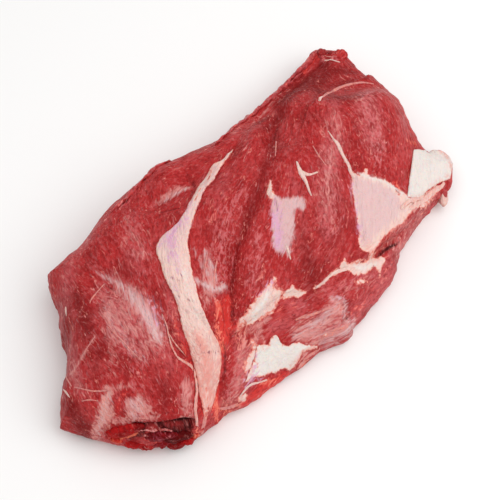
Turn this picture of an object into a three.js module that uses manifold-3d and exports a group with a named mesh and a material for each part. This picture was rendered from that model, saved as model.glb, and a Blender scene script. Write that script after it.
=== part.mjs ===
// A whole trimmed beef topside: one boneless piece of raw meat lying on its flat underside.
// Millimetres, +Z up. The origin is under the middle of the piece, on the surface it rests on;
// +X runs along its length, from the thick cut end towards the thin tip with the fat flap.
import * as THREE from "three";
import { ImprovedNoise } from "three/addons/math/ImprovedNoise.js";
import { mergeVertices } from "three/addons/utils/BufferGeometryUtils.js";
import Module from "manifold-3d";

const wasm = await Module();
wasm.setup();

const MEAT_RED = 0xa5363c;
const ROUGHNESS = 0.45;

// The widest line round the piece in four sides, which meet at its four corners: x, y and the
// height at which the side bulges out furthest. Near and far run with +X, left and right with +Y.
const LEFT_CORNER = [-222, -18, 16];
const FLAP_CORNER = [218, -57, 15];
const TIP_CORNER = [223, 108, 25];
const SHOULDER_CORNER = [-146, 95, 30];
const NEAR_SIDE = [
  LEFT_CORNER, [-205, -46, 13], [-175, -82, 13], [-139, -101, 12], [-90, -104, 9],
  [-28, -112, 9], [5, -113, 9], [18, -120, 9], [50, -114, 9], [91, -105, 10],
  [118, -90, 10], [162, -80, 12], [202, -71, 13], FLAP_CORNER,
];
const RIGHT_SIDE = [
  FLAP_CORNER, [206, -32, 20], [212, -4, 26], [223, 34, 28], [222, 66, 26], [227, 98, 24], TIP_CORNER,
];
const FAR_SIDE = [
  SHOULDER_CORNER, [-111, 89, 38], [-74, 99, 45], [-20, 107, 48], [48, 94, 46],
  [100, 97, 42], [151, 107, 36], [205, 121, 26], TIP_CORNER,
];
const LEFT_SIDE = [LEFT_CORNER, [-185, 19, 24], [-161, 62, 28], SHOULDER_CORNER];

// Height of the top at the places that set the thickness of each part: x, y, height.
const TOP_HEIGHTS = {
  cutEndBlock: [[-137, -10, 80], [-150, 44, 64], [-196, -26, 50], [-155, -61, 60], [-139, -87, 60]],
  farLeftMuscle: [[-72, 62, 86], [-72, 88, 74]],
  strapFoot: [[-83, -31, 94], [-106, -78, 74], [-131, -102, 50]],
  longMuscles: [[-33, 34, 93], [-27, 7, 95], [-60, -31, 84], [17, -9, 90], [-23, -52, 76]],
  roundMuscle: [[66, -36, 84], [23, -70, 66], [156, 5, 74], [111, -62, 58], [35, 74, 80]],
  tip: [[120, 86, 62], [189, 85, 44], [209, 107, 32], [190, -57, 28]],
  nearLayer: [[-4, -87, 44], [71, -99, 34], [-36, -100, 28], [-67, -106, 15], [-73, -78, 48]],
  strapEnd: [[-98, -95, 26]],
};
const HEIGHT_SPREAD = 26; // how far each of those places reaches
const SHOULDER = 34; // width of the rounded edge from the widest line up to the top
const HEEL = 26; // width of the rounded edge from the widest line down to the underside
const UNDER_DEPTH = 4; // the belly reaches this far below the board before it is cut flat

// Muscle bundles that swell under the surface: centre line, half width and swell.
const MUSCLES = [
  { line: [[83, 66], [44, 44], [0, 27], [-20, 5], [-36, -19]], half: 20, swell: 4 },
  { line: [[118, 67], [86, 42], [44, 15], [12, -8], [-18, -35], [-30, -50]], half: 19, swell: 4 },
  { line: [[138, 42], [108, 20], [79, -14], [58, -44], [34, -66]], half: 21, swell: 4 },
  { line: [[158, 40], [172, 14], [172, -14]], half: 32, swell: 5 },
  { line: [[-100, 66], [-66, 52], [-68, 30], [-92, 30]], half: 26, swell: 3 },
  { line: [[-132, 30], [-128, 0], [-128, -34], [-140, -58]], half: 26, swell: 3 },
];

// Bands of fat that stand proud of the meat: centre line with half widths, and height. The first
// is the strap over the top, the second the sheet on the near side, the third the flap at the right.
const FAT_BANDS = [
  {
    line: [
      [-41, 32, 8], [-57, 23, 13], [-68, 9, 14], [-79, -21, 12], [-88, -49, 13], [-97, -71, 12],
      [-107, -81, 9], [-118, -92, 7],
    ],
    height: 4,
  },
  { line: [[-88, -100, 3], [-63, -96, 9], [-37, -99, 11], [-5, -107, 5]], height: 2.5 },
  { line: [[156, -62, 6], [176, -56, 13], [196, -54, 13], [211, -56, 8]], height: 2.5 },
];
const BAND_FULL = 0.55; // share of its half width over which a band has its full height
const BAND_END = 1.15; // share of its half width at which a band has run out

// Valleys where two muscles part: line, depth and half width.
const SEAMS = [
  {
    line: [[107, 71], [73, 41], [41, 15], [10, 1], [-19, -15], [-41, -34], [-61, -55], [-70, -63]],
    depth: 8,
    half: 9,
  },
  { line: [[-76, -50], [-82, -68], [-94, -84]], depth: 4, half: 7 },
  { line: [[46, 63], [88, 82], [129, 88], [177, 103], [193, 104]], depth: 5, half: 7 },
  { line: [[-105, -4], [-114, -37], [-114, -62], [-122, -82]], depth: 3, half: 8 },
];

// Steps where one layer ends on top of another. The side to the left of the line's direction
// stands higher by this height, which runs out over the fall-off.
const STEPS = [
  { line: [[127, 20], [115, -19], [101, -40], [77, -71], [54, -80]], height: 3, fallOff: 14 },
  { line: [[212, 60], [185, 65], [166, 66], [152, 61], [136, 53]], height: 6, fallOff: 18 },
  {
    line: [
      [-58, -66], [-40, -66], [-15, -66], [7, -76], [33, -79], [56, -83], [81, -87], [107, -85],
      [138, -81], [172, -76],
    ],
    height: 7,
    fallOff: 14,
  },
  { line: [[-126, -86], [-112, -66], [-115, -46], [-111, -24], [-105, -4]], height: 4, fallOff: 14 },
  { line: [[115, -19], [129, -33], [140, -52], [160, -48], [190, -29]], height: 4, fallOff: 14 },
];
const STEP_WIDTH = 6; // each step rises within this distance of its line

// A shallow hollow between the top muscle and the far shoulder.
const HOLLOW = { x: -20, y: 64, alongX: 30, alongY: 16, depth: 8, turn: 22 };

// The open mouth in the cut end, between the upper membrane and the meat below it.
const MOUTH = { at: [-172, -79, 27], half: [33, 20, 6.5], pitch: 12, turn: -38 };
const MOUTH_SEGMENTS = 28;

// Rounded scraps at the edge, let into the body: centre, half sizes and turn about Z in degrees.
const SCRAPS = [
  { at: [207, 110, 28], half: [10, 8, 9], turn: 40 }, // left lump of the torn tip
  { at: [219, 99, 27], half: [9, 8, 8], turn: 10 }, // right lump of the torn tip
  { at: [188, -76, 9], half: [11, 5, 5], turn: -75 }, // drop of fat hanging off the flap
  { at: [-176, -73, 10], half: [15, 8, 8], turn: -42 }, // lowest lip of the cut end
  { at: [-138, -95, 10], half: [9, 7, 9], turn: -20 }, // corner of the free flap
];
const SCRAP_SEGMENTS = 10;

// Soft unevenness of the whole surface: size of the lumps and how far they stand out.
const LUMPS = [{ size: 46, out: 2.2 }, { size: 19, out: 1.1 }];
const LUMP_SEED = 7.3;

// Divisions of the skin along, across and up the side, and the part of the rounded edge they cover.
const ALONG = 74;
const ACROSS = 38;
const SIDE_ROWS = 6;
const SIDE_ANGLE = 55;
const LINE_STEPS = 8; // straight steps between two points of a line
const TOP_FADE = [0.1, 0.5]; // the relief of the top fades in between these values of the normal's z
const SAME_PLACE = 1e-3; // vertices closer than this are one
const BOARD_SIZE = 600;

const { clamp, degToRad, smoothstep } = THREE.MathUtils;
const noise = new ImprovedNoise();

/** A smooth curve through points given as [x, y] or [x, y, value]. */
function smoothCurve(points) {
  const vectors = points.map(([x, y, value = 0]) => new THREE.Vector3(x, y, value));
  return new THREE.CatmullRomCurve3(vectors, false, "catmullrom", 0.5);
}

/** The straight steps that stand for the smooth curve through some points. */
function smoothLine(points) {
  return smoothCurve(points).getPoints(LINE_STEPS * (points.length - 1));
}

/** Nearest place on a line seen from above: its distance, its value, and whether x, y is on the left. */
function nearest(line, x, y) {
  let best = { distance: Infinity };
  for (let i = 0; i + 1 < line.length; i++) {
    const a = line[i];
    const dx = line[i + 1].x - a.x;
    const dy = line[i + 1].y - a.y;
    const along = (x - a.x) * dx + (y - a.y) * dy;
    const share = clamp(along / (dx * dx + dy * dy || 1), 0, 1);
    const gapX = x - a.x - share * dx;
    const gapY = y - a.y - share * dy;
    const distance = Math.hypot(gapX, gapY);
    const value = a.z + share * (line[i + 1].z - a.z);
    if (distance < best.distance) best = { distance, value, onLeft: dx * gapY >= dy * gapX };
  }
  return best;
}

const nearSide = smoothCurve(NEAR_SIDE);
const rightSide = smoothCurve(RIGHT_SIDE);
const farSide = smoothCurve(FAR_SIDE);
const leftSide = smoothCurve(LEFT_SIDE);
const rim = [
  ...smoothLine(NEAR_SIDE),
  ...smoothLine(RIGHT_SIDE),
  ...smoothLine(FAR_SIDE).reverse(),
  ...smoothLine(LEFT_SIDE).reverse(),
];

/** A place on one side of the widest line, moved in towards the middle of the piece. */
function sidePlace(side, share, inset) {
  const place = side.getPointAt(share).setZ(0);
  return place.multiplyScalar(1 - inset / place.length());
}

/** A place inside the widest line, at shares from 0 to 1 along and across, seen from above. */
function patchPlace(along, across, inset) {
  return new THREE.Vector3()
    .addScaledVector(sidePlace(nearSide, along, inset), 1 - across)
    .addScaledVector(sidePlace(farSide, along, inset), across)
    .addScaledVector(sidePlace(leftSide, across, inset), 1 - along)
    .addScaledVector(sidePlace(rightSide, across, inset), along)
    .addScaledVector(sidePlace(nearSide, 0, inset), -(1 - along) * (1 - across))
    .addScaledVector(sidePlace(nearSide, 1, inset), -along * (1 - across))
    .addScaledVector(sidePlace(farSide, 0, inset), -(1 - along) * across)
    .addScaledVector(sidePlace(farSide, 1, inset), -along * across);
}

/** Height that the piece would have without its rounded edge. */
function crownHeight(x, y) {
  let total = 0;
  let weights = 0;
  for (const [placeX, placeY, height] of Object.values(TOP_HEIGHTS).flat()) {
    const squared = (x - placeX) ** 2 + (y - placeY) ** 2;
    const weight = Math.exp(-squared / (2 * HEIGHT_SPREAD ** 2));
    total += weight * height;
    weights += weight;
  }
  return total / weights;
}

/** Rise of a rounded edge, 0 at its outside and 1 where it has run out. */
function roundedEdge(distance, width) {
  const share = Math.min(distance / width, 1);
  return Math.sqrt(1 - (1 - share) ** 2);
}

/** Moves a vertex of the box from -1 to 1 to its place on the plain form. */
function placeOnForm(p) {
  const onTop = p.z > 0;
  const edge = onTop ? SHOULDER : HEEL;
  const inset = edge * (1 - Math.cos(Math.abs(p.z) * degToRad(SIDE_ANGLE)));
  const place = patchPlace((p.x + 1) / 2, (p.y + 1) / 2, inset);
  const near = nearest(rim, place.x, place.y);
  const far = onTop ? crownHeight(place.x, place.y) : -UNDER_DEPTH;
  const rise = roundedEdge(near.distance, edge);
  return p.copy(place).setZ(near.value + (far - near.value) * rise);
}

const bell = (distance, half) => Math.exp(-((distance / half) ** 2));
const withPath = (feature) => ({ ...feature, path: smoothLine(feature.line) });
const muscles = MUSCLES.map(withPath);
const fatBands = FAT_BANDS.map(withPath);
const seams = SEAMS.map(withPath);
const steps = STEPS.map(withPath);

/** Depth of the hollow at a place seen from above. */
function hollowDepth(x, y) {
  const place = new THREE.Vector2(x - HOLLOW.x, y - HOLLOW.y);
  place.rotateAround(new THREE.Vector2(), -degToRad(HOLLOW.turn));
  return HOLLOW.depth * bell(Math.hypot(place.x / HOLLOW.alongX, place.y / HOLLOW.alongY), 1);
}

/** How far the top stands out from its plain form at a place seen from above. */
function relief(x, y) {
  let out = -hollowDepth(x, y);
  for (const { path, half, swell } of muscles) out += swell * bell(nearest(path, x, y).distance, half);
  for (const { path, half, depth } of seams) out -= depth * bell(nearest(path, x, y).distance, half);
  for (const { path, height } of fatBands) {
    const { distance, value } = nearest(path, x, y);
    out += height * (1 - smoothstep(distance / value, BAND_FULL, BAND_END));
  }
  for (const { path, height, fallOff } of steps) {
    const { distance, onLeft } = nearest(path, x, y);
    const rise = Math.min(distance / STEP_WIDTH, 1) * Math.exp(-distance / fallOff);
    if (onLeft) out += height * rise;
  }
  return out;
}

/** Soft lumps over the whole surface. */
function lumps(p) {
  let out = 0;
  for (const lump of LUMPS)
    out += lump.out * noise.noise(p.x / lump.size + LUMP_SEED, p.y / lump.size, p.z / lump.size);
  return out;
}

/** A closed geometry as a solid that can be joined and cut. */
function solidOf(geometry) {
  const bare = geometry.clone().deleteAttribute("normal").deleteAttribute("uv");
  const merged = mergeVertices(bare, SAME_PLACE);
  return new wasm.Manifold(new wasm.Mesh({
    numProp: 3,
    vertProperties: merged.getAttribute("position").array,
    triVerts: new Uint32Array(merged.index.array),
  }));
}

/** A solid's own surface as a geometry. */
function geometryOf(solid) {
  const { numProp, numVert, vertProperties, triVerts } = solid.getMesh();
  const positions = new Float32Array(numVert * 3);
  for (let i = 0; i < numVert; i++)
    positions.set(vertProperties.subarray(i * numProp, i * numProp + 3), i * 3);
  const geometry = new THREE.BufferGeometry();
  geometry.setAttribute("position", new THREE.BufferAttribute(positions, 3));
  geometry.setIndex(new THREE.BufferAttribute(triVerts, 1));
  return geometry;
}

/** The body of meat, before it is cut flat: a divided box drawn out to the form, then given its relief. */
function makeBody() {
  const box = new THREE.BoxGeometry(2, 2, 2, ALONG, ACROSS, SIDE_ROWS);
  const skin = mergeVertices(box.deleteAttribute("normal").deleteAttribute("uv"), SAME_PLACE);
  const places = skin.getAttribute("position");
  const p = new THREE.Vector3();
  for (let i = 0; i < places.count; i++) {
    placeOnForm(p.fromBufferAttribute(places, i));
    places.setXYZ(i, p.x, p.y, p.z);
  }
  skin.computeVertexNormals();
  const normals = skin.getAttribute("normal");
  const normal = new THREE.Vector3();
  for (let i = 0; i < places.count; i++) {
    p.fromBufferAttribute(places, i);
    normal.fromBufferAttribute(normals, i);
    const out = lumps(p) + smoothstep(normal.z, ...TOP_FADE) * relief(p.x, p.y);
    p.addScaledVector(normal, out);
    places.setXYZ(i, p.x, p.y, p.z);
  }
  return solidOf(skin);
}

/** A ball stretched to its half sizes, turned and put in its place. */
function makeBall({ at, half, turn, pitch = 0 }, segments) {
  const ball = new THREE.SphereGeometry(1, segments, segments / 2);
  ball.scale(...half);
  ball.rotateX(degToRad(pitch));
  ball.rotateZ(degToRad(turn));
  return solidOf(ball.translate(...at));
}

/** A block below the surface that the piece rests on, which cuts the underside flat. */
function makeBoard() {
  const board = new THREE.BoxGeometry(BOARD_SIZE, BOARD_SIZE, BOARD_SIZE);
  return solidOf(board.translate(0, 0, -BOARD_SIZE / 2));
}

let meat = makeBody();
for (const scrap of SCRAPS) meat = meat.add(makeBall(scrap, SCRAP_SEGMENTS));
meat = meat.subtract(makeBall(MOUTH, MOUTH_SEGMENTS)).subtract(makeBoard());

const surface = geometryOf(meat);
surface.computeBoundingBox();
const middle = surface.boundingBox.getCenter(new THREE.Vector3());
surface.translate(-middle.x, -middle.y, 0);

const raw = new THREE.MeshStandardMaterial({ color: MEAT_RED, roughness: ROUGHNESS, metalness: 0 });
const topside = new THREE.Mesh(surface, raw);
topside.name = "topside";

const piece = new THREE.Group();
piece.add(topside);

export default piece;
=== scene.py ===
"""A whole raw beef topside lying on a pale floor.

One skin goes round the whole piece and carries the muscles, seams and membranes. The fat strap, the white
flap and sheet, the thin threads, the folds of the cut end and the torn edges are pieces of their own that
lie on the skin. Lines are drawn from above in millimetres, x along the piece and y across it, and turned to
metres when a mesh is made.
"""
import logging
import math
from dataclasses import dataclass
from enum import Enum

import bmesh
import bpy
import numpy as np
from mathutils import Matrix, Vector
from mathutils import noise as perlin
from mathutils.bvhtree import BVHTree


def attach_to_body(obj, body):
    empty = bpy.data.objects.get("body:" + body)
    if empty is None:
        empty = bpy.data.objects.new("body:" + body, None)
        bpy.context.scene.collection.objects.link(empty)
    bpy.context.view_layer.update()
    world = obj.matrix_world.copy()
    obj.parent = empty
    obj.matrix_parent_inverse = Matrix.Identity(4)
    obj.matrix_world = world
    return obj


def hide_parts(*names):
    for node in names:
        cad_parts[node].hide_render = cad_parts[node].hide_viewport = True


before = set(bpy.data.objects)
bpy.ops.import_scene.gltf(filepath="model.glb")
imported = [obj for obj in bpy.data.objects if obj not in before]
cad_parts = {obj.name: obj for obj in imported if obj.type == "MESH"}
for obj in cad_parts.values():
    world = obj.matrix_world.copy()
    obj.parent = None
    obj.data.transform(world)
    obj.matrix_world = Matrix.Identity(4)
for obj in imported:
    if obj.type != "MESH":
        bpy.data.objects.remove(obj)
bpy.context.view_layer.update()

Array = np.ndarray
Place = tuple[float, float, float]
Points = tuple[tuple[float, ...], ...]

log = logging.getLogger("topside")

MM = 0.001
NODE = "topside"
BODY = "root"
DRAWING_MIDDLE = (2.73, 0.81, 0.0)  # mm, middle of the drawn outline's box, which is moved to the origin
LINE_STEPS = 6  # straight steps between two points of a line
CHUNK = 4000  # places compared with a line at one time
FAR_OFF = 1000.0  # mm, stands for the distance to a line that is nowhere near
TINY = 1e-6  # keeps a step of no length from being divided by
WIDEST = 24.0  # mm, no stroke is wider to each side of its line
THINNEST = 0.3  # mm, least half width of a fold or a strip
FOLD_REACH = 3  # times its half width, where a fold has died out
STEP_REACH = 4  # times its fall-off, where a step has died out
UNDERSIDE = -0.999  # faces of the box from -1 to 1 that lie lower than this make the flat underside
LINE_SHIFT = 37.0  # mm that the patterns of neighbouring fibre lines are shifted, so that they differ
LEAST_DIVISIONS = 6  # along a short strip
LEAST_WIDTH = 0.2  # mm, half width that a strip is taken to have at its points
LEAST_SHARE = 0.3  # of its half width that a strip keeps where its edge is torn in
FLOOR_GAP = 0.3  # mm, a strip stays this far above the floor


class Shift(Enum):
    """How far each use of the noise is shifted, so that no two look alike."""

    SKIN_LUMPS = 7.3
    SKIN_RIM = 2.1
    STRIP_EDGE = 4.7
    STRIP_TOP = 6.1
    LUMP_BROAD = 5.3
    LUMP_FINE = 8.9


def linear(hex_colour: str) -> tuple[float, float, float, float]:
    """Turn an sRGB hex colour to linear.

    Args:
        hex_colour: six digits after a hash.

    Returns:
        Linear red, green, blue and an alpha of 1.
    """
    parts = [int(hex_colour[i:i + 2], 16) / 255 for i in (1, 3, 5)]
    red, green, blue = (c / 12.92 if c <= 0.04045 else ((c + 0.055) / 1.055) ** 2.4 for c in parts)
    return red, green, blue, 1.0


def smooth_step(value: Array, low: float, high: float) -> Array:
    """Rise smoothly from 0 at low to 1 at high."""
    share = np.clip((value - low) / (high - low), 0.0, 1.0)
    return share * share * (3.0 - 2.0 * share)


def noise_at(places: Array, size: float, shift: Shift) -> Array:
    """Smooth noise at some places.

    Args:
        places: places in mm, one a row.
        size: size of the noise's lumps in mm.
        shift: which use of the noise it is.

    Returns:
        One value a place, from about -1 to 1.
    """
    scaled = (places / size + shift.value).tolist()
    return np.fromiter((perlin.noise(place) for place in scaled), float, len(scaled))


def beside(steps: Array, places: Array) -> Array:
    """Find the nearest place on a line of straight steps for each of some places.

    Args:
        steps: x, y and value of the steps' ends, one a row.
        places: x, y and more in mm, one place a row.

    Returns:
        Four rows: distance, value there, mm along the line and mm to its left.
    """
    run = np.diff(steps[:, :2], axis=0)
    length = np.maximum(np.hypot(run[:, 0], run[:, 1]), TINY)
    travelled = np.concatenate([[0.0], np.cumsum(length)])
    found = np.zeros((4, len(places)))
    for part in np.array_split(np.arange(len(places)), len(places) // CHUNK + 1):
        gap = places[part, None, :2] - steps[None, :-1, :2]
        share = np.clip((gap * run).sum(2) / length ** 2, 0.0, 1.0)
        gap -= share[..., None] * run
        best = (gap ** 2).sum(2).argmin(1)
        row = np.arange(len(part))
        off, share = gap[row, best], share[row, best]
        ahead = run[best] / length[best, None]
        found[0, part] = np.hypot(off[:, 0], off[:, 1])
        found[1, part] = steps[best, 2] + share * (steps[best + 1, 2] - steps[best, 2])
        found[2, part] = travelled[best] + share * length[best] + (off * ahead).sum(1)
        found[3, part] = ahead[:, 0] * off[:, 1] - ahead[:, 1] * off[:, 0]
    return found


@dataclass(frozen=True)
class Nearby:
    """Where some places lie beside a line.

    Attributes:
        distance: mm to the nearest place on the line.
        value: the line's own value there, such as its half width.
        along: mm along the line, going on past both ends.
        across: mm to the left of the line, less than 0 on its right.
    """

    distance: Array
    value: Array
    along: Array
    across: Array


@dataclass(frozen=True)
class Curve:
    """A smooth line seen from above, through points of x, y and a value such as its half width.

    Attributes:
        points: the points it goes through.
        closed: whether it comes back to its first point.
    """

    points: Points
    closed: bool = False

    def samples(self) -> Array:
        """Sample the line so closely that straight steps can join the samples.

        Returns:
            x, y and value, one a row.
        """
        knots = np.array([(*point, 0.0)[:3] for point in self.points], float)
        if self.closed:
            knots = np.vstack([knots, knots[:1]])
            padded = np.vstack([knots[-2], knots, knots[1]])
        else:
            padded = np.vstack([2 * knots[0] - knots[1], knots, 2 * knots[-1] - knots[-2]])
        before, start, end, after = (padded[i:i + len(knots) - 1, None] for i in range(4))
        t = (np.arange(LINE_STEPS) / LINE_STEPS)[None, :, None]
        bend = 2 * before - 5 * start + 4 * end - after
        twist = 3 * start - before - 3 * end + after
        curve = start + 0.5 * ((end - before) * t + bend * t ** 2 + twist * t ** 3)
        return np.vstack([curve.reshape(-1, 3), knots[-1:]])

    def nearby(self, places: Array, reach: float = FAR_OFF) -> Nearby:
        """Find the nearest place on the line for each of some places.

        Args:
            places: x, y and more in mm, one place a row.
            reach: places further than this from the line's box are only said to be far off.

        Returns:
            Where the places lie beside the line.
        """
        steps = self.samples()
        low, high = steps[:, :2].min(0) - reach, steps[:, :2].max(0) + reach
        inside = np.flatnonzero(((places[:, :2] > low) & (places[:, :2] < high)).all(1))
        found = np.zeros((4, len(places)))
        found[0] = FAR_OFF
        found[:, inside] = beside(steps, places[inside])
        return Nearby(*found)

    def encloses(self, places: Array) -> Array:
        """Find which places lie within the closed line.

        Args:
            places: x, y and more in mm, one place a row.

        Returns:
            True or false for each place.
        """
        steps = self.samples()
        odd = np.zeros(len(places), bool)
        for (x0, y0, _), (x1, y1, _) in zip(steps[:-1], steps[1:]):
            if y0 != y1:
                between = (places[:, 1] > y0) != (places[:, 1] > y1)
                odd ^= between & (places[:, 0] < x0 + (places[:, 1] - y0) * (x1 - x0) / (y1 - y0))
        return odd

    def place(self, share: Array) -> tuple[Array, Array]:
        """Places and left-hand normals at shares of the line's length.

        Args:
            share: from 0 at the start to 1 at the end.

        Returns:
            x, y and value, one a row, and the unit normals in x and y.
        """
        steps = self.samples()
        run = np.hypot(*np.diff(steps[:, :2], axis=0).T)
        arc = np.concatenate([[0.0], np.cumsum(run)]) / run.sum()
        slope = np.gradient(steps[:, :2], arc, axis=0)
        slope /= np.maximum(np.hypot(slope[:, 0], slope[:, 1]), TINY)[:, None]
        at = np.stack([np.interp(share, arc, steps[:, i]) for i in range(3)], 1)
        normal = np.stack([-np.interp(share, arc, slope[:, 1]), np.interp(share, arc, slope[:, 0])], 1)
        return at, normal

    def length(self) -> float:
        """Length of the line in mm."""
        return float(np.hypot(*np.diff(self.samples()[:, :2], axis=0).T).sum())


class Tissue(Enum):
    """Kinds of tissue, painted shade and sheen, each named for the mesh attribute that says how much of it is
    there.
    """

    SHADE = "shade"  # darker lean meat, partly painted shade in hollows, valleys and slopes away from the light
    FLESH_AND_SHEEN = "flesh_and_sheen"  # paler lean meat, partly a painted sheen on swellings and edges
    GRAIN = "grain"  # lean meat whose bundles show as short strokes, pale flecks partly painted glints
    WET = "wet"  # freshly cut, bright red and wet
    EMBER = "ember"  # orange red where thin meat lets light through
    DEEP_SHADE = "deep"  # almost black red: painted shade in cuts, seams and holes
    VEIL = "veil"  # thin pink membrane
    FAT = "fat"  # cream fat
    WHITE = "white"  # grey white skin of fat
    BLUSH = "blush"  # fat stained orange pink by the meat
    SILVER = "silver"  # pink grey silverskin
    TINT = "tint"  # lavender silverskin
    VEIN = "vein"  # grey lilac dots and hair lines


@dataclass(frozen=True)
class Stroke:
    """A stroke of tissue.

    Attributes:
        points: its centre line with half widths in mm or, if closed, its outline.
        strength: how much of the tissue it lays.
        feather: mm to each side of its edge over which it fades.
        closed: whether the points are its outline.
    """

    points: Points
    strength: float = 1.0
    feather: float = 3.0
    closed: bool = False

    def lay(self, places: Array) -> Array:
        """Lay the stroke on some places.

        Args:
            places: places in mm, one a row.

        Returns:
            How much of the tissue each place takes, from 0 to the stroke's strength.
        """
        line = Curve(self.points, self.closed)
        near = line.nearby(places, self.feather + WIDEST)
        inside = near.value - near.distance
        if self.closed:
            inside = np.where(line.encloses(places), near.distance, -near.distance)
        return self.strength * np.clip(0.5 + inside / (2 * self.feather), 0.0, 1.0)


# Fat that lies flush in the meat: round the silver patch, in the seams of the near side and at the head of
# the lavender patch, and small painted glints.
FAT_STROKES = (
    Stroke(((115, -22), (115, -25), (118, -29), (127, -28), (125, -34), (132, -41), (138, -48), (137, -56),
        (135, -64), (142, -60), (138, -67), (144, -73), (144, -76), (137, -78), (130, -79), (124, -81),
        (112, -81), (102, -82), (93, -83), (84, -85), (77, -86), (75, -85), (73, -83), (71, -80), (74, -73),
        (82, -66), (85, -60), (91, -51), (98, -41), (106, -32)), 1.0, 2.0, True),
    Stroke(((51, -78), (50, -81), (57, -84), (64, -86), (71, -88), (78, -87), (82, -90), (88, -92),
        (88, -95), (83, -96), (77, -98), (75, -93), (70, -94), (64, -94), (59, -93), (53, -91), (46, -84),
        (41, -83)), 1.0, 2.0, True),
    Stroke(((-8, -54), (-16, -58), (-15, -62), (-11, -66), (-15, -67), (-22, -69), (-28, -71), (-37, -69),
        (-48, -67), (-53, -64), (-58, -64), (-55, -61), (-47, -61), (-39, -59), (-29, -58), (-17, -56)), 1.0,
        3.0, True),
    Stroke(((6, -77), (0, -76), (-9, -70), (-15, -68), (-9, -67), (-4, -68), (0, -67), (0, -71)), 1.0, 2.0,
        True),
    Stroke(((41, -82, 1.2), (32, -81, 1.0), (22, -81, 1.1), (12, -79, 0.6)), 0.9, 2.0),
    Stroke(((46, 12, 0.6), (41, 8, 1.6), (36, 2, 2.4), (36, -5, 1.6)), 1.0, 2.0),
    Stroke(((76, -101, 0.4), (78, -97, 1.4), (80, -93, 2.4)), 1.0, 2.0),
    Stroke(((-56, -79, 1.5), (-59, -85, 2.6), (-66, -86, 3.0), (-74, -90, 2.4)), 0.8, 3.0),
    # Two small painted glints.
    Stroke(((50, -96, 0.7), (56, -97, 1.6), (61, -99, 0.7)), 0.8, 2.0),
    Stroke(((-93, -102, 0.8), (-90, -103, 1.8), (-87, -103, 0.8)), 1.0, 1.5),
    Stroke(((126, -68, 7.0), (140, -68, 5.0), (150, -75, 3.0), (165, -73, 3.0), (182, -70, 2.0)), 1.0, 3.0),
)
# White skin of fat on those seams, and thin pale skins on the cut end and over the strap's hollow.
WHITE_STROKES = (
    Stroke(((-22, -60, 1.0), (-32, -64, 3.0), (-44, -65, 2.0)), 0.8, 3.0),
    Stroke(((58, -88, 2.0), (68, -91, 2.0), (80, -93, 1.0)), 0.8, 3.0),
    Stroke(((118, -27, 1.0), (126, -36, 1.6), (134, -46, 2.0), (139, -58, 2.0), (142, -66, 2.0)), 0.9, 4.0),
    Stroke(((-58, -84, 1.5), (-66, -88, 2.0), (-72, -91, 1.5)), 0.5, 3.0),
    Stroke(((116, -36, 4.0), (126, -52, 7.0), (122, -70, 6.0)), 0.62, 8.0),
    Stroke(((-184, -38, 1.0), (-190, -43, 2.4), (-200, -46, 1.6)), 0.4, 4.0),
    Stroke(((-66, -17, 0.6), (-63, -26, 1.2), (-56, -34, 1.4), (-48, -34, 1.0)), 0.6, 2.0),
    Stroke(((-119, 46, 0.6), (-116, 36, 1.2), (-113, 26, 1.0)), 0.45, 3.0),
    Stroke(((-120, -22, 0.8), (-121, -30, 2.0), (-122, -37, 1.6)), 0.5, 4.0),
    Stroke(((-8, -98, 1.0), (4, -101, 2.0), (14, -102, 1.4)), 0.4, 4.0),
)
# Orange pink stains at the edges of the fat.
BLUSH_STROKES = (
    Stroke(((-175, -37), (-182, -42), (-186, -50), (-195, -48), (-202, -46), (-206, -42), (-196, -40),
        (-191, -36), (-186, -33), (-179, -33)), 0.8, 4.0, True),
    Stroke(((-172, -53, 1.5), (-168, -58, 3.6), (-166, -64, 3.0), (-176, -60, 2.0)), 0.6, 4.0),
    Stroke(((-192, -52, 1.0), (-200, -48, 2.4), (-206, -44, 1.6)), 0.6, 3.0),
    Stroke(((135, -60, 1.0), (144, -66, 2.4), (150, -73, 2.0)), 0.6, 4.0),
    Stroke(((82, -78, 2.0), (76, -82, 3.0), (80, -87, 2.0)), 0.75, 4.0),
    Stroke(((150, -75, 2.0), (165, -74, 2.4), (180, -71, 2.0)), 0.7, 3.0),
    Stroke(((-12, -57, 1.0), (-16, -60, 1.4), (-12, -64, 1.0)), 0.7, 2.5),
    Stroke(((-55, -62, 1.0), (-60, -66, 2.0), (-54, -70, 2.4)), 0.6, 4.0),
    Stroke(((-60, -68, 2.0), (-66, -76, 3.6), (-74, -86, 3.6)), 0.45, 5.0),
    Stroke(((142, -76, 1.0), (128, -80, 1.6), (110, -82, 1.6), (92, -84, 1.2)), 0.6, 3.0),
    Stroke(((-66, -16, 1.5), (-64, -24, 3.0), (-59, -31, 4.0), (-52, -34, 2.4)), 0.5, 4.0),
    Stroke(((-22, -96, 2.0), (-6, -99, 4.0), (12, -103, 4.0), (26, -103, 2.0)), 0.4, 5.0),
    Stroke(((-110, -96, 2.0), (-98, -101, 3.0), (-87, -103, 2.0)), 0.55, 4.0),
    Stroke(((-30, 64, 1.5), (-20, 63, 2.6), (-12, 60, 1.6)), 0.45, 4.0),
)
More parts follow.
